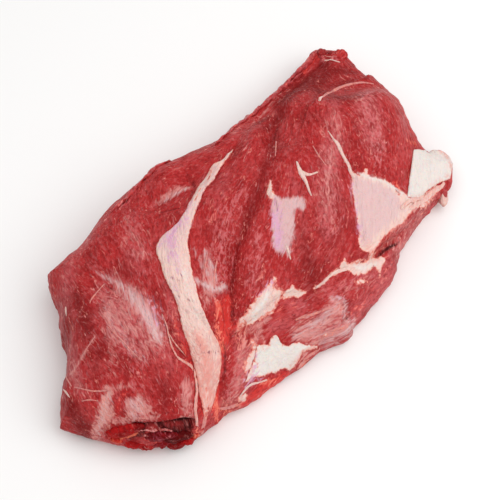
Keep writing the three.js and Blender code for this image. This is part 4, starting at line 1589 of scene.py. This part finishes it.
# The cream strap, from its thin tip at the far side past its bend to its tail at the cut end.
FAT_STRAP = Laid(
    name="fat_strap",
    ribbons=(Ribbon(((48, 65), (37, 61), (29, 59), (21, 61), (5, 55), (-10, 48), (-24, 40), (-39, 32),
                 (-53, 31), (-65, 31), (-72, 27), (-78, 16), (-85, -1), (-90, -17), (-95, -29), (-101, -42),
                 (-105, -52), (-109, -62), (-113, -70), (-118, -78), (-123, -87), (-129, -98)),
                 ((48, 63), (37, 57), (30, 55), (18, 50), (5, 45), (-7, 40), (-20, 32), (-31, 25), (-43, 17),
                 (-52, 7), (-63, -10), (-69, -21), (-76, -36), (-79, -46), (-81, -58), (-84, -68),
                 (-91, -77), (-101, -85), (-108, -90), (-117, -95), (-129, -99))),),
    thick=2.4,
    marks={Tissue.FAT: 1.0},
    strokes=(
        (Tissue.SILVER,
            Stroke(((20, 56, 3.0), (-6, 44, 5.0), (-34, 30, 6.0), (-57, 22, 10.0), (-70, 8, 5.0)), 0.7,
            6.0)),
        (Tissue.TINT, Stroke(((-24, 38, 3.0), (-40, 29, 4.0), (-54, 29, 4.0), (-68, 24, 3.0)), 0.7, 4.0)),
        (Tissue.TINT, Stroke(((-56, 24, 3.0), (-61, 17, 4.0), (-68, 7, 4.0), (-74, -6, 2.0)), 0.75, 5.0)),
        (Tissue.BLUSH, Stroke(((19, 59, 0.8), (15, 56, 1.4), (8, 51, 1.4), (1, 47, 0.8)), 1.0, 1.6)),
        (Tissue.TINT, Stroke(((-44, 27, 1.0), (-52, 26, 2.0), (-60, 23, 2.0), (-66, 18, 1.0)), 1.0, 2.0)),
        (Tissue.TINT, Stroke(((-60, 20, 4.0), (-68, 7, 5.0), (-75, -6, 4.0)), 0.5, 5.0)),
        (Tissue.TINT, Stroke(((-76, 2, 3.0), (-84, -14, 4.0), (-90, -30, 3.0)), 0.35, 6.0)),
        (Tissue.WHITE, Stroke(((-62, 8, 2.0), (-70, -8, 5.0), (-78, -24, 4.0), (-86, -42, 3.0)), 0.5, 6.0)),
        (Tissue.WHITE, Stroke(((18, 57, 1.0), (4, 51, 1.6), (-14, 42, 2.0)), 0.4, 4.0)),
        (Tissue.BLUSH,
            Stroke(((-94, -50, 3.0), (-98, -62, 6.0), (-104, -74, 8.0), (-116, -88, 7.0)), 0.95, 7.0)),
        (Tissue.BLUSH, Stroke(((-108, -80, 4.0), (-118, -90, 6.0), (-128, -98, 5.0)), 1.0, 4.0)),
        (Tissue.BLUSH,
            Stroke(((-100, -44, 0.8), (-106, -58, 1.4), (-113, -72, 2.0), (-122, -88, 2.6)), 1.0, 3.0)),
        (Tissue.BLUSH,
            Stroke(((-82, -56, 2.0), (-84, -66, 2.4), (-90, -75, 2.0), (-104, -84, 1.6)), 0.9, 3.0)),
        (Tissue.BLUSH, Stroke(((-46, 12, 1.0), (-58, -6, 1.4), (-68, -22, 1.4), (-76, -40, 1.2)), 0.8, 2.0)),
        (Tissue.BLUSH, Stroke(((30, 57, 1.0), (22, 57, 2.0), (12, 51, 1.2)), 0.6, 3.0)),
        (Tissue.VEIN, Stroke(((-82, -2, 0.6), (-78, -11, 0.6)), 0.7, 1.6)),
        (Tissue.VEIN, Stroke(((-89, -17, 0.3), (-84, -26, 0.6), (-80, -33, 0.3)), 0.7, 1.5)),
        (Tissue.VEIN, Stroke(((-102, -62, 0.3), (-94, -66, 0.6), (-85, -67, 0.3)), 0.7, 1.5)),
        (Tissue.VEIN, Stroke(((-84, -3, 0.3), (-75, -6, 0.5), (-72, -14, 0.3)), 0.6, 1.5)),
        (Tissue.VEIN, Stroke(((-88, -43, 0.5), (-92, -56, 0.7), (-102, -60, 0.5)), 0.5, 1.5)),
    ),
    bare=(
        Stroke(((16, 57, 0.4), (11, 53, 1.2), (6, 50, 0.6)), 0.9, 1.6),
        Stroke(((2, 49, 0.3), (-8, 44, 0.8), (-18, 38, 0.8), (-27, 32, 0.3)), 0.7, 1.4),
        Stroke(((-26, 37, 0.3), (-36, 31, 0.8), (-44, 28, 0.3)), 0.45, 1.4),
        Stroke(((26, 60, 0.4), (22, 59, 0.7)), 0.7, 1.4),
        Stroke(((-113, -82, 0.4), (-118, -90, 0.9), (-124, -98, 1.2)), 0.75, 1.8),
        Stroke(((-121, -86, 0.3), (-124, -92, 0.8), (-127, -98, 0.8)), 0.7, 1.6),
    ),
    rows=18, rag=(8.0, 1.3), bumps=(9.0, 0.9), smooth=4, inset=0.6, feather=1.4,
)
# The white flap that stands out of the near side at the right.
FAT_FLAP = Laid(
    name="fat_flap",
    ribbons=(Ribbon(((189, -31), (199, -33), (209, -34), (217, -36), (223, -44), (220, -58)),
                 ((142, -67), (149, -69), (160, -71), (170, -68), (183, -68), (202, -70))),),
    thick=2.2,
    marks={Tissue.FAT: 1.0, Tissue.WHITE: 1.0},
    strokes=(
        (Tissue.TINT, Stroke(((186, -40, 1.0), (172, -52, 2.4), (160, -62, 1.4)), 0.45, 4.0)),
        (Tissue.BLUSH,
            Stroke(((214, -36, 1.5), (221, -43, 3.0), (221, -53, 3.0), (210, -62, 3.0)), 0.6, 3.5)),
        (Tissue.BLUSH, Stroke(((176, -66, 1.0), (188, -66, 2.0), (200, -68, 2.0)), 0.5, 3.0)),
        (Tissue.BLUSH, Stroke(((142, -67, 1.0), (156, -69, 1.6), (168, -68, 1.6)), 0.6, 2.5)),
        (Tissue.VEIN, Stroke(((219, -44, 0.8), (220, -50, 0.8)), 0.7, 2.0)),
    ),
    lip=0.4, rows=30, rag=(9.0, 1.4), bumps=(11.0, 1.2), smooth=6, inset=0.2, feather=0.8,
)
# The white sheet along the near edge, stained at its rim.
FAT_SHEET = Laid(
    name="fat_sheet",
    ribbons=(Ribbon(((-82, -96), (-75, -93), (-68, -90), (-62, -86), (-57, -83), (-53, -82), (-46, -85),
                 (-40, -84), (-35, -85), (-36, -91), (-32, -96), (-24, -99), (-17, -105), (-8, -110)),
                 ((-83, -97), (-77, -98), (-71, -99), (-65, -101), (-59, -103), (-52, -105), (-45, -108),
                 (-40, -110), (-36, -111), (-33, -110), (-29, -109), (-25, -108), (-20, -109),
                 (-8, -111))),),
    thick=1.4,
    marks={Tissue.FAT: 1.0, Tissue.WHITE: 0.85},
    strokes=(
        (Tissue.TINT, Stroke(((-60, -88, 2.0), (-66, -95, 4.0), (-76, -97, 3.0)), 0.55, 4.0)),
        (Tissue.BLUSH, Stroke(((-62, -86, 1.0), (-72, -94, 2.0), (-80, -97, 2.0)), 0.6, 3.0)),
        (Tissue.BLUSH, Stroke(((-40, -108, 0.6), (-26, -107, 1.0), (-12, -109, 1.0)), 0.7, 2.0)),
        (Tissue.BLUSH,
            Stroke(((-58, -85, 1.0), (-48, -86, 1.6), (-36, -89, 1.4), (-28, -97, 1.4)), 0.5, 2.6)),
    ),
    bare=(
        Stroke(((-66, -87, 0.6), (-63, -91, 0.9), (-66, -95, 0.4)), 0.7, 2.0),
        Stroke(((-46, -84, 0.4), (-45, -88, 0.7)), 0.8, 1.2),
        Stroke(((-33, -90, 0.4), (-36, -94, 0.6)), 0.8, 1.2),
        Stroke(((-52, -83, 0.4), (-52, -87, 0.5)), 0.7, 1.2),
    ),
    lip=0.4, rows=22, rag=(5.0, 1.6), bumps=(6.0, 0.6), inset=1.1, feather=2.0,
)
# The thin loose edge of meat and fat beside the strap.
FREE_EDGE = Laid(
    name="free_edge",
    ribbons=tuple(Ribbon(points) for points in (
        ((-106, -20, 0.3), (-109, -30, 0.5), (-115, -41, 0.8), (-118, -52, 0.9), (-116, -58, 1.5),
            (-113, -64, 1.4), (-114, -68, 0.5)),
        ((-112, -67, 0.5), (-116, -73, 1.1), (-120, -79, 1.1), (-127, -86, 1.0), (-132, -91, 1.3),
            (-138, -99, 1.0)),
        ((-111, -34, 0.3), (-112, -44, 0.7), (-111, -56, 0.4)),
    )),
    thick=1.6,
    marks={Tissue.FAT: 0.7, Tissue.BLUSH: 0.8},
    lip=0.2, rows=6, rag=(3.0, 0.6), bumps=(4.0, 0.5), inset=-0.5,
)
# Fork, comma, sinews and short bits of white connective tissue.
WHITE_THREADS = Laid(
    name="white_threads",
    ribbons=tuple(Ribbon(points) for points in (
        ((78, 13, 0.8), (75, 7, 1.5), (72, 0, 2.1), (69, -9, 1.4), (65, -17, 0.8), (63, -22, 0.5)),
        ((74, 3, 1.1), (75, -2, 1.8), (78, -5, 1.1), (85, -7, 0.7)),
        ((125, 21, 0.5), (123, 12, 1.0), (122, 5, 1.7), (118, -6, 1.5), (115, -17, 1.6), (112, -27, 1.6)),
        ((143, 51, 1.2), (147, 54, 1.4), (151, 55, 0.6)),
        ((48, -84, 1.8), (40, -82, 1.3), (32, -81, 1.1), (22, -81, 1.1), (15, -80, 0.7)),
        ((-201, 2, 0.3), (-202, -5, 0.6), (-203, -12, 0.4)),
        # A pale stroke on the torn tip: a painted glint.
        ((200, 105, 0.4), (203, 100, 0.9), (206, 98, 0.5), (209, 93, 0.8), (211, 90, 0.3)),
        ((-156, 52, 0.4), (-158, 49, 0.9), (-161, 44, 0.4)),
        ((17, -40, 1.2), (15, -45, 0.9), (13, -50, 0.5)),
        ((-92, -101, 0.5), (-84, -100, 0.7), (-77, -100, 0.7), (-70, -102, 0.6), (-63, -104, 0.5)),
    )),
    thick=0.8,
    marks={Tissue.FAT: 1.0},
    lip=0.2, step=1.0, rows=4, rag=(4.0, 0.3), bumps=(4.0, 0.2), sink=1.0, inset=-0.8,
)
# Threads of membrane that the lean meat shows through.
PINK_THREADS = Laid(
    name="pink_threads",
    ribbons=tuple(Ribbon(points) for points in (
        ((-43, -6, 0.6), (-53, -14, 0.9), (-63, -23, 0.6)),
        ((-42, -17, 0.6), (-51, -24, 0.9), (-59, -33, 0.6)),
        ((86, 48, 0.5), (78, 40, 0.8), (69, 31, 0.5)),
        ((-158, 5, 0.3), (-168, 4, 0.4), (-176, 3, 0.3)),
        ((-146, 4, 0.3), (-145, -9, 0.5), (-144, -26, 0.5), (-143, -36, 0.3)),
        ((103, 18, 0.4), (99, 6, 0.7), (97, -5, 0.4)),
        ((149, 54, 1.2), (161, 57, 1.6), (178, 61, 1.7), (192, 59, 1.5), (204, 54, 1.2), (213, 46, 0.7)),
        ((-195, -9, 0.3), (-189, -21, 0.5), (-181, -30, 0.6), (-175, -34, 0.4)),
        ((-198, -23, 0.4), (-193, -27, 0.5), (-188, -33, 0.3)),
        ((-112, -98, 0.5), (-104, -101, 0.8), (-96, -103, 0.5)),
        ((-14, -108, 0.6), (-2, -109, 1.3), (9, -113, 1.6), (18, -116, 1.3), (26, -115, 0.6)),
        ((-32, -110, 0.4), (-22, -109, 0.7), (-12, -107, 0.5)),
        ((-122, 38, 0.5), (-129, 37, 0.6), (-138, 35, 0.7), (-142, 33, 0.5)),
        ((-189, 17, 0.4), (-194, 4, 0.6), (-196, -6, 0.5)),
        ((-15, -87, 0.8), (-7, -90, 0.9), (4, -95, 0.9), (15, -99, 0.8)),
        ((139, -79, 1.0), (149, -76, 1.3), (162, -73, 1.4), (175, -70, 1.4), (185, -69, 0.9)),
        # Two short pale strokes on the torn tip: painted glints.
        ((206, 106, 0.3), (209, 102, 0.8), (211, 100, 0.4)),
        ((202, 110, 0.3), (206, 107, 0.6), (207, 104, 0.3)),
        ((-35, -112, 0.6), (-27, -111, 0.9), (-18, -111, 0.8), (-7, -112, 0.6)),
        ((-121, -93, 1.4), (-127, -97, 1.6), (-132, -100, 1.2), (-137, -102, 0.6)),
    )),
    thick=0.5,
    marks={Tissue.VEIL: 0.95, Tissue.FAT: 0.24},
    lip=0.2, step=1.0, rows=4, rag=(4.0, 0.3), bumps=(4.0, 0.2), sink=1.0, inset=-0.8,
)
# The rolled lower edge of the flap.
FLAP_LIP = Laid(
    name="flap_lip",
    ribbons=tuple(Ribbon(points) for points in (
        ((137, -76, 1.4), (150, -75, 2.2), (165, -73, 2.6), (178, -71, 2.4), (188, -71, 1.6),
            (194, -70, 0.8)),
        ((128, -72, 1.0), (140, -71, 2.0), (152, -71, 2.0), (164, -71, 1.6)),
    )),
    thick=2.0,
    marks={Tissue.FAT: 1.0, Tissue.BLUSH: 0.55},
    strokes=(
        (Tissue.WET, Stroke(((161, -70, 0.6), (171, -68, 1.0), (181, -68, 0.6)), 1.0, 1.5)),
        (Tissue.BLUSH, Stroke(((161, -72, 1.0), (171, -70, 1.6), (181, -70, 1.0)), 1.0, 2.0)),
    ),
    lip=0.2, rows=8, rag=(4.0, 0.9), bumps=(4.0, 0.8), inset=0.0,
)
# The torn roll along the far edge.
FAR_ROLL = Laid(
    name="far_roll",
    ribbons=tuple(Ribbon(points) for points in (
        ((40, 80, 1.0), (59, 86, 2.0), (79, 93, 3.4), (98, 96, 3.6), (112, 98, 2.0)),
        ((96, 92, 0.8), (108, 94, 2.0), (122, 95, 2.6), (134, 96, 1.0)),
        ((122, 92, 1.0), (133, 97, 2.0), (149, 103, 3.6), (163, 108, 2.6), (172, 110, 1.0)),
        ((150, 99, 0.8), (163, 103, 1.6), (176, 106, 1.0)),
        ((164, 108, 1.0), (176, 111, 3.0), (188, 113, 3.6), (200, 115, 2.6)),
        ((-60, 90, 1.0), (-50, 93, 2.4), (-38, 96, 2.8), (-30, 97, 1.2)),
        ((-36, 97, 1.0), (-24, 98, 3.2), (-10, 99, 3.0), (2, 97, 1.4)),
        ((-74, 88, 0.8), (-64, 90, 1.6), (-54, 90, 0.8)),
    )),
    thick=3.0,
    marks={Tissue.WET: 0.35, Tissue.FLESH_AND_SHEEN: 0.9},
    strokes=(
        # Pale pink lines along the roll: painted highlights.
        (Tissue.VEIL, Stroke(((62, 88, 0.6), (80, 95, 1.6), (100, 98, 1.6), (116, 100, 0.6)), 0.75, 2.5)),
        (Tissue.VEIL, Stroke(((132, 99, 0.6), (146, 104, 1.0), (160, 110, 0.8)), 0.7, 2.5)),
        (Tissue.VEIL, Stroke(((172, 112, 0.8), (186, 114, 1.2), (198, 116, 1.0)), 0.8, 2.5)),
    ),
    lip=0.1, rag=(5.0, 1.8), bumps=(5.0, 2.6), drop=4.0,
)
LAID_PIECES = (FAT_STRAP, FAT_FLAP, FAT_SHEET, FREE_EDGE, WHITE_THREADS, PINK_THREADS, FLAP_LIP, FAR_ROLL)

# The two torn knobs at the far right end.
TORN_TIP = Lumps(
    name="torn_tip",
    lumps=(
        # The darker marks on the knobs, darkest on the low one between the others, are partly painted shade.
        Lump((206, 111, 28), (8, 6, 9), {Tissue.SHADE: 0.5}, 40.0),
        Lump((220, 99, 27), (8, 7, 8), {Tissue.WET: 0.4}, 10.0),
        Lump((213, 107, 25), (6, 5, 8), {Tissue.SHADE: 0.8, Tissue.DEEP_SHADE: 0.3}, 20.0),
        # Two thin pale lumps on the knobs: painted glints.
        Lump((202, 105, 34), (5, 2.6, 3), {Tissue.FLESH_AND_SHEEN: 0.8, Tissue.VEIL: 0.4}, 60.0),
        Lump((210, 99, 33), (5, 2.6, 3), {Tissue.FLESH_AND_SHEEN: 0.8, Tissue.VEIL: 0.4}, 10.0),
    ),
    rag=(5.0, 2.0),
)
# The drop of fat that hangs below the flap.
FAT_DROP = Lumps(
    name="fat_drop",
    lumps=(
        Lump((187, -76, 13), (11, 5.0, 6.0), {Tissue.FAT: 1.0, Tissue.BLUSH: 0.4}, 52.0),
        Lump((188.5, -76, 17), (6.0, 2.8, 2.8), {Tissue.SHADE: 0.4, Tissue.FLESH_AND_SHEEN: 0.7}, 52.0),
    ),
    rag=(5.0, 0.8),
)
# The folds inside the hole of the cut end, the wedge to its left and the torn foot below it.
CUT_END = (
    Lumps(
        name="cut_end_wedge",
        lumps=(
            Lump((-187, -61, 33), (15, 4, 7), {Tissue.WET: 0.6}, -38.0, -12.0, -14.0),
            # Its upper part is marked darker: partly a painted shadow under the rim of the skin above.
            Lump((-179, -67, 41), (9, 3.6, 3.4), {Tissue.SHADE: 0.3, Tissue.WET: 0.3}, -38.0),
            Lump((-186, -65, 28), (13, 2.0, 1.8), {Tissue.WET: 1.0, Tissue.EMBER: 0.8, Tissue.BLUSH: 0.4},
                -38.0, 0.0, -36.0),
            Lump((-194, -60, 22), (6, 3.0, 3.0), {Tissue.WET: 0.9, Tissue.EMBER: 0.5}, -46.0),
        ),
        rag=(5.0, 1.0),
    ),
    Lumps(
        name="cut_end_folds",
        lumps=(
            # The folds in the hole are marked darker: partly painted shade of the hole.
            Lump((-169, -82, 31), (10, 4, 7), {Tissue.SHADE: 0.6, Tissue.TINT: 0.5}, -42.0, -8.0),
            Lump((-161, -88, 31), (8, 3.4, 5), {Tissue.SHADE: 0.6, Tissue.TINT: 0.4}, -40.0),
            # Two thin pale strands over the dark gap, partly painted glints.
            Lump((-172, -78, 42), (7, 1.0, 0.8), {Tissue.VEIL: 0.8}, -40.0, 0.0, 8.0),
            Lump((-161, -86, 39), (6, 1.0, 0.8), {Tissue.VEIL: 0.7}, -40.0, 0.0, 24.0),
            Lump((-175, -78, 35), (2.8, 1.2, 1.0), {Tissue.VEIL: 0.6, Tissue.SHADE: 0.3}, -40.0),
            # Darker lumps below the hole: partly painted shade.
            Lump((-158, -91, 24), (9, 4, 6), {Tissue.SHADE: 0.8}, -40.0),
            Lump((-150, -95, 24), (8, 3.6, 6), {Tissue.SHADE: 0.9}, -34.0),
        ),
        rag=(4.0, 1.2),
    ),
    Lumps(
        name="cut_end_foot",
        lumps=(
            Lump((-184, -71, 17), (9, 4, 6), {Tissue.WET: 0.5}, -42.0),
            Lump((-176, -78, 13), (8, 4, 5), {Tissue.WET: 0.5, Tissue.VEIL: 0.3}, -42.0),
            Lump((-167, -85, 17), (8, 4, 7), {Tissue.SHADE: 0.3, Tissue.TINT: 0.4}, -42.0),
            Lump((-158, -93, 13), (8, 4, 6), {Tissue.SHADE: 0.4, Tissue.WET: 0.3}, -40.0),
            Lump((-141, -99, 17), (4, 3, 5), {Tissue.WET: 0.9, Tissue.EMBER: 0.6}, -20.0),
            Lump((-148, -97, 13), (7, 4, 6), {Tissue.WET: 0.6, Tissue.SHADE: 0.2}, -26.0),
        ),
        rag=(4.0, 1.6),
    ),
)


@dataclass(frozen=True)
class MattPaint:
    """Matt wall paint, rolled on: the eye sees one even pale tone without gloss.

    Attributes:
        name: the material's name.
        colour: its sRGB hex colour.
        rough: its roughness.
    """

    name: str = "matt_pale_paint"
    colour: str = "#f4f3f2"
    rough: float = 0.9

    def build(self) -> bpy.types.Material:
        """Make the material.

        Returns:
            The material.
        """
        material = bpy.data.materials.new(self.name)
        material.use_nodes = True
        shader = material.node_tree.nodes["Principled BSDF"]
        shader.inputs["Base Color"].default_value = linear(self.colour)
        shader.inputs["Roughness"].default_value = self.rough
        return material


@dataclass(frozen=True)
class Studio:
    """The pale floor, the soft lights and the camera.

    Attributes:
        paint: finish of the floor.
        floor_size, floor_drop: its size, and how far it lies below the underside so that the two don't meet.
        sky, sky_colour: strength and sRGB hex colour of the light from all round.
        lamps: name, place in mm and power in watts of each softbox.
        softbox: size of a softbox in mm.
        aim: what the camera looks at, in mm.
        turn, height: degrees from the length of the piece to the picture's width, and above the floor.
        away, lens: mm from there to the camera, and its focal length.
    """

    paint: MattPaint = MattPaint()
    floor_size: float = 6000.0
    floor_drop: float = 0.2
    sky: float = 0.64
    sky_colour: str = "#ffffff"
    lamps: tuple[tuple[str, Place, float], ...] = (
        ("key", (450, -650, 1350), 15.0),
        ("top", (-300, 500, 1600), 4.0),
    )
    softbox: float = 1500.0
    aim: Place = (2.87, -6.51, 35.0)
    turn: float = 42.0
    height: float = 62.0
    away: float = 1062.5
    lens: float = 85.0

    def build(self) -> None:
        """Make floor, lights and camera."""
        self.build_floor()
        self.build_lights()
        self.build_camera()

    def build_floor(self) -> None:
        """Make a matt pale floor under the piece."""
        bm = bmesh.new()
        bmesh.ops.create_grid(bm, x_segments=1, y_segments=1, size=self.floor_size * MM / 2)
        bmesh.ops.translate(bm, verts=bm.verts, vec=(0, 0, -self.floor_drop * MM))
        mesh = bpy.data.meshes.new("floor")
        bm.to_mesh(mesh)
        bm.free()
        mesh.materials.append(self.paint.build())
        floor = bpy.data.objects.new("floor", mesh)
        bpy.context.scene.collection.objects.link(floor)

    def build_lights(self) -> None:
        """Make a bright sky all round, a wide softbox to the right of the camera and a weaker one behind."""
        world = bpy.data.worlds.new("soft_sky")
        world.use_nodes = True
        background = world.node_tree.nodes["Background"]
        background.inputs["Color"].default_value = linear(self.sky_colour)
        background.inputs["Strength"].default_value = self.sky
        bpy.context.scene.world = world
        for name, place, power in self.lamps:
            lamp = bpy.data.lights.new(name, "AREA")
            lamp.shape = "SQUARE"
            lamp.size = self.softbox * MM
            lamp.energy = power
            light = bpy.data.objects.new(name, lamp)
            light.location = Vector(place) * MM
            light.rotation_euler = (-light.location).to_track_quat("-Z", "Y").to_euler()
            bpy.context.scene.collection.objects.link(light)

    def build_camera(self) -> None:
        """Make the camera above the cut end's near side, looking down on the piece."""
        turn, height = math.radians(self.turn), math.radians(self.height)
        right = Vector((math.cos(turn), -math.sin(turn), 0))
        level = Vector((-math.sin(turn), -math.cos(turn), 0))
        back = level * math.cos(height) + Vector((0, 0, math.sin(height)))
        turned = Matrix((right, back.cross(right), back)).transposed().to_4x4()
        data = bpy.data.cameras.new("camera")
        data.lens = self.lens
        camera = bpy.data.objects.new("camera", data)
        camera.matrix_world = Matrix.Translation((Vector(self.aim) + back * self.away) * MM) @ turned
        bpy.context.scene.collection.objects.link(camera)
        bpy.context.scene.camera = camera
        bpy.context.scene.view_settings.view_transform = "Standard"


def attach(piece: bpy.types.Object) -> None:
    """Say what a piece rides on, and report it.

    Args:
        piece: the finished piece.
    """
    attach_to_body(piece, BODY)
    log.info("%s: %d faces", piece.name, len(piece.data.polygons))


def main() -> None:
    """Build the piece and the studio, in order."""
    logging.basicConfig(level=logging.INFO, format="%(name)s: %(message)s")
    Studio().build()
    meat = RawMeat().build()
    cut_face = CUT_FACE.build()
    skin = Skin().build(meat)
    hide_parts(NODE)
    attach(skin)
    ground = Ground.of(skin)
    for laid in LAID_PIECES:
        attach(laid.build(ground, meat))
    for lumps in (TORN_TIP, FAT_DROP):
        attach(lumps.build(meat))
    for lumps in CUT_END:
        attach(lumps.build(cut_face))


if __name__ == "__main__":
    main()
